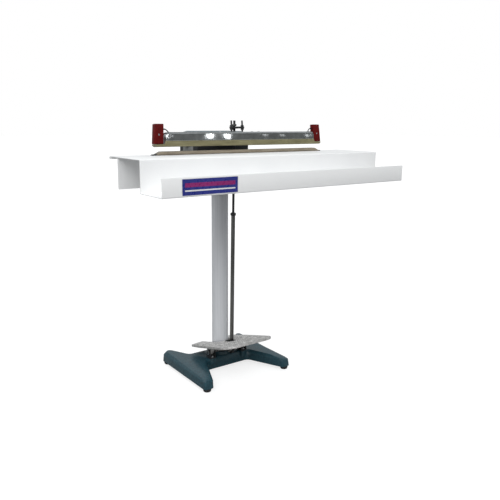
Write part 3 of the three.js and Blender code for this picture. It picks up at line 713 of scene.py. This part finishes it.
def rod_fittings():
    """Hexagon nuts and the threaded ends of the upper rod."""
    for node, flats, look in (("rod_lock_nut", 17 * MM, "black_steel"),
                              ("rod_top_nut", 13 * MM, "bright_steel")):
        low, high = local_box(node, ROD)
        mesh = bmesh.new()
        add_hex(mesh, flats, low.z, high.z, ROD)
        add_lathe(mesh, [(flats * 0.4, high.z), (flats * 0.36, high.z + 0.8 * MM)], ROD, 24)
        piece(f"{node}_hexagon", mesh, look, "pull_rod", [node])
    _, lock_nut = local_box("rod_lock_nut", ROD)
    top_nut, _ = local_box("rod_top_nut", ROD)
    low, high = local_box("pull_rod_upper", ROD)
    radius = (high.x - low.x) / 2
    thread_start = top_nut.z - 26 * MM
    mesh = bmesh.new()
    add_lathe(mesh, [(radius, low.z), (radius, lock_nut.z + 1 * MM), (radius, thread_start - 1 * MM),
                     (radius * 0.9, thread_start)], ROD, 28)
    add_thread(mesh, radius, thread_start, high.z, ROD)
    add_thread(mesh, radius * 1.04, lock_nut.z + 0.5 * MM, lock_nut.z + 22 * MM, ROD)
    piece("pull_rod_upper_threaded", mesh, "black_steel", "pull_rod", ["pull_rod_upper"])


rod_fittings()

# ---- head
for node, look, bevel in (
        ("head_collar", "black_paint", 1.5), ("head_plate", "black_paint", 1),
        ("jaw_support_left", "black_paint", 0.8), ("jaw_support_right", "black_paint", 0.8),
        ("pivot_plate_left", "bright_steel", 0.8), ("pivot_plate_right", "bright_steel", 0.8),
        ("arm_shaft", "bright_steel", 0.8),
        ("housing_left", "black_paint", 0.5), ("housing_right", "black_paint", 0.5),
        ("housing_front", "black_paint", 0.4), ("housing_rear", "black_paint", 0.4),
        ("top_cover", "hammertone_paint", 1.4), ("control_panel", "panel_grey", 0.5),
        ("power_inlet", "black_plastic", 0.4)):
    finished(node, look, bevel * MM)

HOUSING_LOW, HOUSING_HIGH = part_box("housing_left")[0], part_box("housing_right")[1]
PANEL_LOW, PANEL_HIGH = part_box("control_panel")
TABLE_LOW, TABLE_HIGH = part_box("work_table")


def housing_screws():
    mesh = bmesh.new()
    low, high = HOUSING_LOW, HOUSING_HIGH
    inset = 9 * MM
    for x, direction in ((low.x, LEFT), (high.x, RIGHT)):
        for y in (low.y + inset, high.y - inset):
            for z in (low.z + 26 * MM, high.z - inset):
                add_screw(mesh, (x, y, z), direction, 3.4 * MM)
    _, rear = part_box("housing_rear")
    for x in (low.x + 12 * MM, high.x - 12 * MM):
        for z in (rear.z - 11 * MM, rear.z - 128 * MM):
            add_screw(mesh, (x, high.y, z), REAR, 3.4 * MM)
    for y in (PANEL_LOW.y + 5 * MM, PANEL_HIGH.y - 5 * MM):
        for z in (PANEL_LOW.z + 5 * MM, PANEL_HIGH.z - 5 * MM):
            add_screw(mesh, (PANEL_LOW.x, y, z), LEFT, 2.3 * MM)
    inlet_low, inlet_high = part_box("power_inlet")
    for x in (inlet_low.x + 4.2 * MM, inlet_high.x - 4.2 * MM):
        add_screw(mesh, box_middle("power_inlet", x=x, y=inlet_high.y), REAR, 2.2 * MM)
    fasteners("housing_screws", mesh)


def head_bolts():
    mesh = bmesh.new()
    plate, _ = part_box("head_plate")
    collar_low, collar_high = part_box("head_collar")
    centre = box_middle("head_collar", z=collar_high.z - 9.4 * MM)
    for x, y in circle(51 * MM, 4, math.pi / 4):
        add_bolt(mesh, centre + Vector((x, y, 0)), DOWN, 10 * MM)
    for side, _ in SIDES:
        _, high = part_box(f"jaw_support_{side}")
        for y in (plate.y + 14 * MM, high.y - 12 * MM):
            add_bolt(mesh, box_middle(f"jaw_support_{side}", y=y, z=plate.z), DOWN, 8 * MM)
    sleeve = [v.co for v in frame["nodes"]["head_collar"].data.vertices if v.co.z < collar_low.z + 1 * MM]
    add_screw(mesh, (centre.x, min(co.y for co in sleeve), collar_low.z + 12 * MM), FRONT, 5 * MM)
    fasteners("head_bolts", mesh)


def side_louvres():
    """Pressed ventilation louvres on the housing's right side."""
    count, pitch, first = 6, 12 * MM, 40 * MM
    half_width, depth, rise = 31 * MM, 2.2 * MM, 5.5 * MM
    root = -0.1 * MM
    middle_y = (HOUSING_LOW.y + HOUSING_HIGH.y) / 2
    mesh = bmesh.new()
    for number in range(count):
        z = HOUSING_HIGH.z - first - number * pitch
        rings = []
        for i in range(13):
            t = i / 6 - 1
            out = depth * math.sqrt(1 - abs(t) ** 6)
            section = ((root, 0.5 * rise), (0.8 * out, 0.1 * rise), (out + 0.05 * MM, -0.4 * rise),
                       (root, -0.4 * rise))
            rings.append([mesh.verts.new((HOUSING_HIGH.x + dx, middle_y + t * half_width, z + dz))
                          for dx, dz in section])
        add_walls(mesh, rings)
        add_ends(mesh, rings)
    piece("housing_louvres", mesh, "black_paint", "frame", sharp=40)


housing_screws()
head_bolts()
side_louvres()


# ---- controls
def knob(node):
    """A fluted control knob with a pointer line on its cap."""
    face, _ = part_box(node)
    pivot = Vector(JOINTS[f"{node}_turn"]["pos_m"])
    skirt_x = pivot.x - 2.6 * MM
    seat = facing((skirt_x, pivot.y, pivot.z), LEFT)
    height = skirt_x - face.x
    skirt, grip, flutes = 12.6 * MM, 11.2 * MM, 24
    mesh = bmesh.new()
    add_lathe(mesh, [(skirt, 0), (skirt, 2.2 * MM), (skirt * 0.94, 3.2 * MM)], seat, 48)
    rings = []
    for share, z in ((1.0, 3.0 * MM), (0.97, 3.4 * MM), (0.93, height - 3.2 * MM), (0.86, height - 2.2 * MM)):
        outline = []
        for x, y in circle(grip * share, flutes * 4):
            groove = 1 - 0.05 * (0.5 + 0.5 * math.cos(flutes * math.atan2(y, x)))
            outline.append((x * groove, y * groove))
        rings.append(add_corners(mesh, outline, z, seat))
    add_walls(mesh, rings)
    add_ends(mesh, rings)
    cap = [(radius, height - down) for radius, down in mm((8.2, 2.3), (8.2, 1.6), (7.6, 1.2))]
    add_lathe(mesh, cap, seat, 32)
    add_lathe(mesh, mm((3, -14), (3, 0.5)), seat, 20)
    line = mm((-0.8, 1), (0.8, 1), (0.8, 10.2), (-0.8, 10.2))
    pointer = [[mesh.verts.new((x, pivot.y + y, pivot.z + z)) for y, z in line]
               for x in (face.x + 0.7 * MM, face.x + 2.3 * MM)]
    add_ends(mesh, pointer, material=1)
    add_walls(mesh, pointer, material=1)
    piece(f"{node}_fluted", mesh, ["black_plastic", "label_white"], node, [node], sharp=40)


def dial_marks():
    """Printed ticks round both knobs, the first, middle and last of them longer."""
    mesh = bmesh.new()
    for name in ("timer_knob_turn", "cooling_knob_turn"):
        pivot = Vector(JOINTS[name]["pos_m"])
        dial = Matrix.Translation((PANEL_LOW.x - 0.02 * MM, pivot.y, pivot.z))
        for step in range(11):
            reach, length = mm((15.6, 3.2) if step % 5 == 0 else (15.2, 2.0))[0]
            tick = dial @ Matrix.Rotation(math.radians(27 * step), 4, "X") @ Matrix.Translation((0, 0, reach))
            add_box(mesh, tick, (0.16 * MM, 0.7 * MM, length))
    piece("dial_marks", mesh, "black_plastic", "frame")


def control_trim():
    """The switch's bezel, the lamp's ring and the fuse cap's grip ribs."""
    mesh = bmesh.new()
    seat = facing(box_middle("power_switch", x=PANEL_LOW.x), LEFT)
    x, y = (abs(half) for half in (seat.to_3x3().inverted() @ Vector((0, 9.4 * MM, 13.4 * MM))).xy)
    outer = rounded_rectangle(-x, x, -y, y, 2 * MM)
    inner = rounded_rectangle(-x, x, -y, y, 0.6 * MM, inset=2.6 * MM)
    add_walls(mesh, [add_corners(mesh, outline, height, seat) for outline, height in (
        (outer, -0.2 * MM), (outer, 1.4 * MM), (inner, 2.0 * MM), (inner, -0.2 * MM))], looped=True)
    lamp = facing(box_middle("pilot_lamp", x=PANEL_LOW.x), LEFT)
    add_ring(mesh, mm((7.1, 0), (8.6, 0), (8.4, 1.6), (7.1, 2.2)), lamp, 36)
    fuse = facing(box_middle("fuse_holder", y=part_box("fuse_holder")[1].y), REAR)
    ribs = 16
    for i in range(ribs):
        rib = Matrix.Rotation(2 * math.pi * i / ribs, 4, "Z") @ Matrix.Translation((8.5 * MM, 0, -3.6 * MM))
        add_box(mesh, fuse @ rib, (0.9 * MM, 1.0 * MM, 6.4 * MM))
    add_box(mesh, fuse, (9 * MM, 1.4 * MM, 0.5 * MM))
    piece("control_trim", mesh, "black_plastic", "frame")


for node in ("timer_knob", "cooling_knob"):
    knob(node)
dial_marks()
finished("power_switch", "black_plastic", 0.8 * MM, 3)
finished("pilot_lamp", "lamp_lens", 0.4 * MM)
finished("fuse_holder", "black_plastic", 0.8 * MM)
control_trim()

# ---- electrics inside
for node, look in (("transformer_core", "core_steel"), ("transformer_coil", "copper_winding"),
                   ("timer_board", "circuit_board"), ("microswitch", "black_plastic")):
    finished(node, look, 0.4 * MM)


def return_springs():
    """Extension springs from the head plate to the arm's tail: close-wound, straight at both ends."""
    coils, per_turn, straight = 22, 16, 16 * MM
    steps = coils * per_turn
    for side, _ in SIDES:
        low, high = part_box(f"return_spring_{side}")
        centre = (low + high) / 2
        radius = (high.x - low.x) / 2 - 1 * MM
        bottom, top = low.z + straight, high.z - straight
        path = [Vector((centre.x, centre.y, z)) for z in (low.z + 1 * MM, low.z + 10 * MM)]
        for i in range(steps + 1):
            angle = 2 * math.pi * i / per_turn
            reach = radius * min(1.0, i / per_turn, (steps - i) / per_turn)
            path.append(Vector((centre.x + reach * math.cos(angle), centre.y + reach * math.sin(angle),
                                bottom + (top - bottom) * i / steps)))
        path += [Vector((centre.x, centre.y, z)) for z in (high.z - 10 * MM, high.z - 1 * MM)]
        mesh = bmesh.new()
        add_tube(mesh, path, 1.05 * MM, 8)
        spring = piece(f"return_spring_{side}_coil", mesh, "bright_steel", "frame", sharp=80)
        spring.parent = None
        del spring["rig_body"]
        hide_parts(f"return_spring_{side}")
        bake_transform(spring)


return_springs()

# ---- work table
finished("work_table", "white_paint", 0.5 * MM, 2, sharp=40)


def table_fasteners():
    """Screws through the table's front wall into the lower jaw bar."""
    low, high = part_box("lower_jaw_bar")
    wall_face = low.y - 2.32 * MM
    mesh = bmesh.new()
    for share in (-0.9, -0.3, 0.3, 0.9):
        add_screw(mesh, (share * high.x, wall_face, low.z + 20 * MM), FRONT, 4.2 * MM)
    fasteners("table_screws", mesh)


def table_label():
    """A plain badge on the trough's lip: a blue field with a white border and two bands."""
    x0, x1 = -404 * MM, -225 * MM
    z0, z1 = TABLE_LOW.z + 3.5 * MM, TABLE_LOW.z + 50 * MM
    border, margin = 1.8 * MM, 10 * MM
    white, blue, pink = range(3)
    place = Matrix.Translation((0, TABLE_LOW.y, 0)) @ Matrix.Rotation(math.pi / 2, 4, "X")
    mesh = bmesh.new()
    add_slab(mesh, rounded_rectangle(x0, x1, z0, z1, 2 * MM), 0.0, 0.30 * MM, place, white)
    field = rounded_rectangle(x0, x1, z0, z1, 1.5 * MM, inset=border)
    add_slab(mesh, field, 0.25 * MM, 0.42 * MM, place, blue)
    for low, high, color in ((0.50, 0.74, pink), (0.26, 0.34, white)):
        band = rounded_rectangle(x0 + margin, x1 - margin, z0 + low * (z1 - z0), z0 + high * (z1 - z0),
                                 1 * MM)
        add_slab(mesh, band, 0.38 * MM, 0.52 * MM, place, color)
    piece("badge", mesh, ["label_white", "label_blue", "label_pink"], "frame")


table_fasteners()
table_label()

# ---- lower jaw
finished("lower_jaw_bar", "jaw_aluminium", 0.5 * MM)


def lower_terminals():
    """The dark shoe at each end of the lower jaw: it falls away under the cloth to a low tip past it."""
    top = TABLE_HIGH.z
    for side, sign in SIDES:
        low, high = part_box(f"lower_terminal_{side}")
        inner = low.x if sign > 0 else high.x
        reach = high.x - low.x
        profile = [(0, low.z), (reach, low.z), (reach, top + 0.2 * MM), (reach - 2 * MM, top + 2.6 * MM),
                   (17 * MM, top + 3.0 * MM), (4 * MM, high.z - 3 * MM), (0, high.z - 2.4 * MM)]
        mesh = bmesh.new()
        rings = [[mesh.verts.new((inner + sign * x, y, z)) for x, z in profile] for y in (low.y, high.y)]
        add_ends(mesh, rings)
        add_walls(mesh, rings)
        shoe = piece(f"lower_terminal_{side}_shoe", mesh, "black_plastic", "frame",
                     [f"lower_terminal_{side}"])
        rounded(shoe, 0.8 * MM, 2, 30)


def cloth_wrap(name, node, place, body, spread, open_z, closed_z, look):
    """Thin coated glass cloth pulled over a jaw: two flanges, a flat face and a closed fold at each end.

    spread gives the half length and the (y, y) span; open_z and closed_z give the flanges' free edge and
    the flat face's height at a distance along the jaw.
    """
    half_length, (y0, y1) = spread
    thickness, corner = 0.22 * MM, 1.6 * MM
    ripple = random.Random(name)
    phases = [ripple.uniform(0, 2 * math.pi) for _ in range(4)]
    half, middle = (y1 - y0) / 2 - thickness, (y0 + y1) / 2
    stations = 161
    mesh = bmesh.new()
    rows = []
    for i in range(stations):
        x = half_length * (2 * i / (stations - 1) - 1)
        free, closed = open_z(abs(x)), closed_z(abs(x))
        closed += math.copysign(thickness, free - closed)
        inward = math.copysign(corner, free - closed)
        side = [(-half, free), (-half, free + 0.4 * (closed + inward - free)), (-half, closed + inward)]
        for step in range(1, 5):
            angle = math.radians(90 * step / 5)
            side.append((-half + corner * (1 - math.cos(angle)), closed + inward * (1 - math.sin(angle))))
        side.append((-half + corner, closed))
        profile = side + [(0, closed)] + [(-y, z) for y, z in reversed(side)]
        drift = 0.10 * MM * sum(math.sin(phases[k] + x * (40 + 31 * k)) / (k + 1.5) for k in range(3))
        hem = 0.35 * MM * math.sin(phases[3] + x * 55)
        row = []
        for y, z in profile:
            slack = abs(z - closed) / abs(free - closed)
            bulge = math.copysign(drift * slack, y) if y else 0.0
            row.append(mesh.verts.new(place @ Vector((x, middle + y + bulge, z + hem * (z == free)))))
        rows.append(row)
    for a, b in zip(rows, rows[1:]):
        for k in range(len(a) - 1):
            mesh.faces.new((a[k], a[k + 1], b[k + 1], b[k]))
    add_ends(mesh, rows)
    made = piece(name, mesh, look, body, [node], sharp=60)
    padding = made.modifiers.new("cloth_thickness", "SOLIDIFY")
    padding.thickness, padding.offset = thickness, 1
    applied(made)


def lower_cloth():
    low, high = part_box("lower_ptfe_cover")
    shoulder, end = high.x - 1 * MM, high.x + 15 * MM
    fall = (high.z - TABLE_HIGH.z - 3.4 * MM) / (end - shoulder)

    def closed(x):
        return high.z - max(0.0, x - shoulder) * fall

    def free(x):
        return min(low.z, closed(x) - 4 * MM)

    # The lower cloth takes the paler copy, whose lighter tone is partly painted light on its upward face.
    cloth_wrap("lower_ptfe_cloth", "lower_ptfe_cover", STILL, "frame", (end, (low.y, high.y)), free, closed,
               "pale_cloth")


lower_terminals()
lower_cloth()

# ---- upper jaw, arm and yoke
finished("jaw_arm", "cast_aluminium", 1.6 * MM, 3)
finished("upper_jaw_bar", "jaw_aluminium", 0.6 * MM)
finished("jaw_cover", "jaw_chrome", 0.5 * MM, 3, sharp=45, flat=True)
finished("yoke", "black_steel", 1 * MM, 2)
for side, _ in SIDES:
    finished(f"end_cap_{side}", "red_plastic", 2.4 * MM, 4)

COVER_LOW, COVER_HIGH = local_box("jaw_cover", ARM)
ARM_TOP = 852 * MM  # the arm's flat top behind the cover, with the jaw closed


def upper_cloth():
    low, high = local_box("upper_ptfe_cover", ARM)
    cap, _ = local_box("end_cap_right", ARM)

    def free(x):
        return high.z if x < COVER_HIGH.x else cap.z - 0.4 * MM

    def closed(x):
        return low.z + 3 * MM * max(0.0, (x - high.x) / (4 * MM) + 1) ** 2

    cloth_wrap("upper_ptfe_cloth", "upper_ptfe_cover", ARM, "jaw_arm", (high.x + 0.4 * MM, (low.y, high.y)),
               free, closed, "ptfe_cloth")


def yoke_studs():
    """Threaded studs with a nut at the foot, and a nut and washer under and over the yoke."""
    yoke_low, yoke_high = local_box("yoke", ARM)
    nut, washer = 4.2 * MM, 0.9 * MM
    for side, _ in SIDES:
        low, high = local_box(f"yoke_stud_{side}", ARM)
        centre = (low + high) / 2
        place = ARM @ Matrix.Translation((centre.x, centre.y, 0))
        mesh = bmesh.new()
        add_thread(mesh, 3 * MM, low.z, high.z, place, 1 * MM)
        for z in (low.z + 16.3 * MM, yoke_low.z - 5.2 * MM, yoke_high.z + 1.1 * MM):
            add_hex(mesh, 9 * MM, z, z + nut, place)
        for z in (yoke_low.z - 1 * MM, yoke_high.z + 0.1 * MM):
            add_lathe(mesh, [(5.8 * MM, z), (5.8 * MM, z + washer)], place, 24)
        piece(f"yoke_stud_{side}_threaded", mesh, "black_steel", "jaw_arm", [f"yoke_stud_{side}"])


def jaw_screws():
    """Screws in the caps and the chrome cover, and the bolts that hold the jaw bar to the arm."""
    mesh = bmesh.new()
    for side, sign in SIDES:
        low, high = local_box(f"end_cap_{side}", ARM)
        centre = (low + high) / 2
        add_screw(mesh, (centre.x, low.y + 0.5 * MM, centre.z - 2 * MM), FRONT, 2.8 * MM, ARM)
        for offset, radius in mm((13, 4.6), (26, 3.2)):
            add_screw(mesh, (sign * (COVER_HIGH.x - offset), COVER_LOW.y, COVER_HIGH.z - 12.5 * MM), FRONT,
                      radius, ARM)
    low, high = local_box("jaw_arm", ARM)
    for share in (-0.85, -0.55, 0.55, 0.85):
        add_bolt(mesh, (share * high.x, low.y + 9 * MM, ARM_TOP), UP, 8 * MM, ARM)
    fasteners("jaw_screws", mesh, "jaw_arm")


def smooth_path(points, steps=6):
    """A Catmull-Rom curve through the points."""
    path = []
    for a, b, c, d in zip(points[:1] + points[:-2], points[:-1], points[1:], points[2:] + points[-1:]):
        for i in range(steps):
            t = i / steps
            path.append(0.5 * ((2 * b) + (c - a) * t + (2 * a - 5 * b + 4 * c - d) * t * t
                               + (3 * b - a - 3 * c + d) * t ** 3))
    return path + points[-1:]


def jaw_leads():
    """The short sleeved lead from each end cap into the chrome cover."""
    top = COVER_HIGH.z
    for side, sign in SIDES:
        cap_low, cap_high = local_box(f"end_cap_{side}", ARM)
        low, high = local_box(f"jaw_lead_{side}", ARM)
        inner = cap_high.x if sign < 0 else cap_low.x
        y, z = (low.y + high.y) / 2, high.z - 1.7 * MM
        route = ((1.5 * MM, z), (-4 * MM, z + 0.4 * MM), (-9 * MM, z - 0.6 * MM), (-14 * MM, z - 4.2 * MM),
                 (-17 * MM, top + 0.4 * MM), (-18 * MM, top - 0.6 * MM))
        points = [Vector((inner + sign * x, y, height)) for x, height in route]
        path = [ARM @ point for point in smooth_path(points)]
        mesh = bmesh.new()
        add_tube(mesh, path, 1.6 * MM, 12)
        add_tube(mesh, path[:9], 2.3 * MM, 12)
        grommet = ARM @ facing((points[-1].x, y, top), UP)
        add_ring(mesh, mm((1.7, 0), (3.6, 0), (3.0, 1.3), (1.7, 1.5)), grommet, 20)
        piece(f"jaw_lead_{side}_sleeved", mesh, "black_plastic", "jaw_arm", [f"jaw_lead_{side}"], sharp=60)


upper_cloth()
yoke_studs()
jaw_screws()
jaw_leads()
for node in ("upper_element", "lower_element"):
    frame["nodes"][node].data.materials.clear()
    frame["nodes"][node].data.materials.append(LOOKS["nichrome"])

# ---- studio and camera
CAMERA = Vector((-1.1679, -1.6212, 0.9052))
YAW, PITCH, ROLL = (math.radians(a) for a in (36.3, 12.3, 0.5))
SENSOR_MM, LENS_MM = 36, 42.75
SUN_FROM, SUN_STRENGTH, SUN_ANGLE = (-0.55, -0.75, 0.85), 0.52, 50
GLINTS = (  # x and z on the closed jaw's cover, size of the reflection, power
    (-0.291, 0.845, (0.010, 0.005), 20), (-0.140, 0.843, (0.016, 0.012), 30),
    (-0.076, 0.843, (0.015, 0.013), 30), (0.080, 0.846, (0.014, 0.004), 6),
    (0.154, 0.842, (0.016, 0.004), 4), (0.268, 0.843, (0.009, 0.010), 5))


def quad(name, place, size, surface):
    """A flat rectangle of the studio, facing its place's Z axis."""
    x, y = size[0] / 2, size[1] / 2
    mesh = bmesh.new()
    mesh.faces.new(add_corners(mesh, ((-x, -y), (x, -y), (x, y), (-x, y)), 0, place))
    made = mesh_object(name, mesh)
    made.data.materials.append(surface.material)
    return made


def backdrop():
    """A pale floor that glows for the camera, so that it stays near white and lights little from below."""
    paper = Surface("studio_paper", Roughness=0.9, Specular_IOR_Level=0.0, Emission_Color=(1, 1, 1, 1))
    paper.color(paper.ramp(paper.noise(0.8, 2), (0.3, grey(0.31)), (0.7, grey(0.33))))
    glow = paper.levels(paper.add("ShaderNodeLightPath", "Is Camera Ray"), 0.0, 0.76)
    paper.links.new(glow, paper.shader.inputs["Emission Strength"])
    quad("studio_floor", STILL, (60, 60), paper)


def reflection_cards():
    """Dark flags in front and overhead, seen only in reflections, as the room there would be."""
    felt = Surface("dark_felt", Roughness=0.9)
    felt.color(felt.ramp(felt.noise(1.5, 3), (0.3, (0.22, 0.22, 0.21)), (0.7, (0.38, 0.38, 0.37))))
    for name, place, size in (
            ("dark_flag", facing((1.75, -2.5, 0.62), (-0.57, 0.82, 0)), (3.4, 1.24)),
            ("overhead_flag", facing((0.6, -1.0, 2.6), (-0.2, 0.3, -1)), (4.4, 2.0))):
        card = quad(name, place, size, felt)
        card.visible_camera = card.visible_diffuse = card.visible_shadow = False


def mirrored_light(name, x, z, size, power):
    """A small lamp whose reflection shows on the chrome cover at x, z of the closed jaw."""
    spot = ARM @ Vector((x, COVER_LOW.y, z))
    normal = ARM.to_3x3() @ Vector(FRONT)
    distance = (spot - CAMERA).length
    sight = (spot - CAMERA).normalized()
    away = sight - 2 * sight.dot(normal) * normal
    reach = 0.9
    light = bpy.data.lights.new(name, "AREA")
    light.shape = "RECTANGLE"
    light.size, light.size_y = (side * (distance + reach) / distance for side in size)
    light.energy = power * light.size * light.size_y
    made = new_object(name, light)
    made.location = spot + away * reach
    made.rotation_euler = away.to_track_quat("Z", "Y").to_euler()
    made.visible_camera = made.visible_diffuse = made.visible_shadow = False


def sun():
    light = bpy.data.lights.new("key", "SUN")
    light.energy = SUN_STRENGTH * math.pi
    light.angle = math.radians(SUN_ANGLE)
    new_object("key", light).rotation_euler = Vector(SUN_FROM).to_track_quat("Z", "Y").to_euler()


def sky():
    """White paper for the camera; for light, a bright ceiling, a pale room behind and a dark one in front."""
    world = bpy.data.worlds.new("studio_world")
    world.use_nodes = True
    room = Patterns(world.node_tree)
    height = room.add("ShaderNodeSeparateXYZ", "Z", Vector=room.coordinates["Generated"])

    def shades(*stops):
        return room.ramp(height, *((z, (level * 0.97, level * 0.99, level)) for z, level in stops))

    behind = room.levels(height.node.outputs["Y"], 0.0, 1.0, (-0.3, 0.7))
    light = room.mix(shades((0.0, 0.06), (0.3, 0.45), (0.8, 1.0)),
                     shades((0.0, 0.3), (0.3, 0.45), (0.8, 1.0)), behind)
    seen = room.mix(light, (1, 1, 1), room.add("ShaderNodeLightPath", "Is Camera Ray"))
    room.links.new(seen, room.nodes["Background"].inputs["Color"])
    bpy.context.scene.world = world


def camera():
    ahead = Vector((math.sin(YAW) * math.cos(PITCH), math.cos(YAW) * math.cos(PITCH), -math.sin(PITCH)))
    level = Vector((math.cos(YAW), -math.sin(YAW), 0))
    upright = level.cross(ahead)
    right = level * math.cos(ROLL) + upright * math.sin(ROLL)
    up = upright * math.cos(ROLL) - level * math.sin(ROLL)
    data = bpy.data.cameras.new("camera")
    data.sensor_width, data.lens = SENSOR_MM, LENS_MM
    made = new_object("camera", data)
    made.matrix_world = Matrix.Translation(CAMERA) @ Matrix((right, up, -ahead)).transposed().to_4x4()
    bpy.context.scene.camera = made


backdrop()
reflection_cards()
sky()
sun()
for number, glint in enumerate(GLINTS):
    mirrored_light(f"glint_{number}", *glint)
camera()
bpy.context.scene.view_settings.view_transform = "Standard"
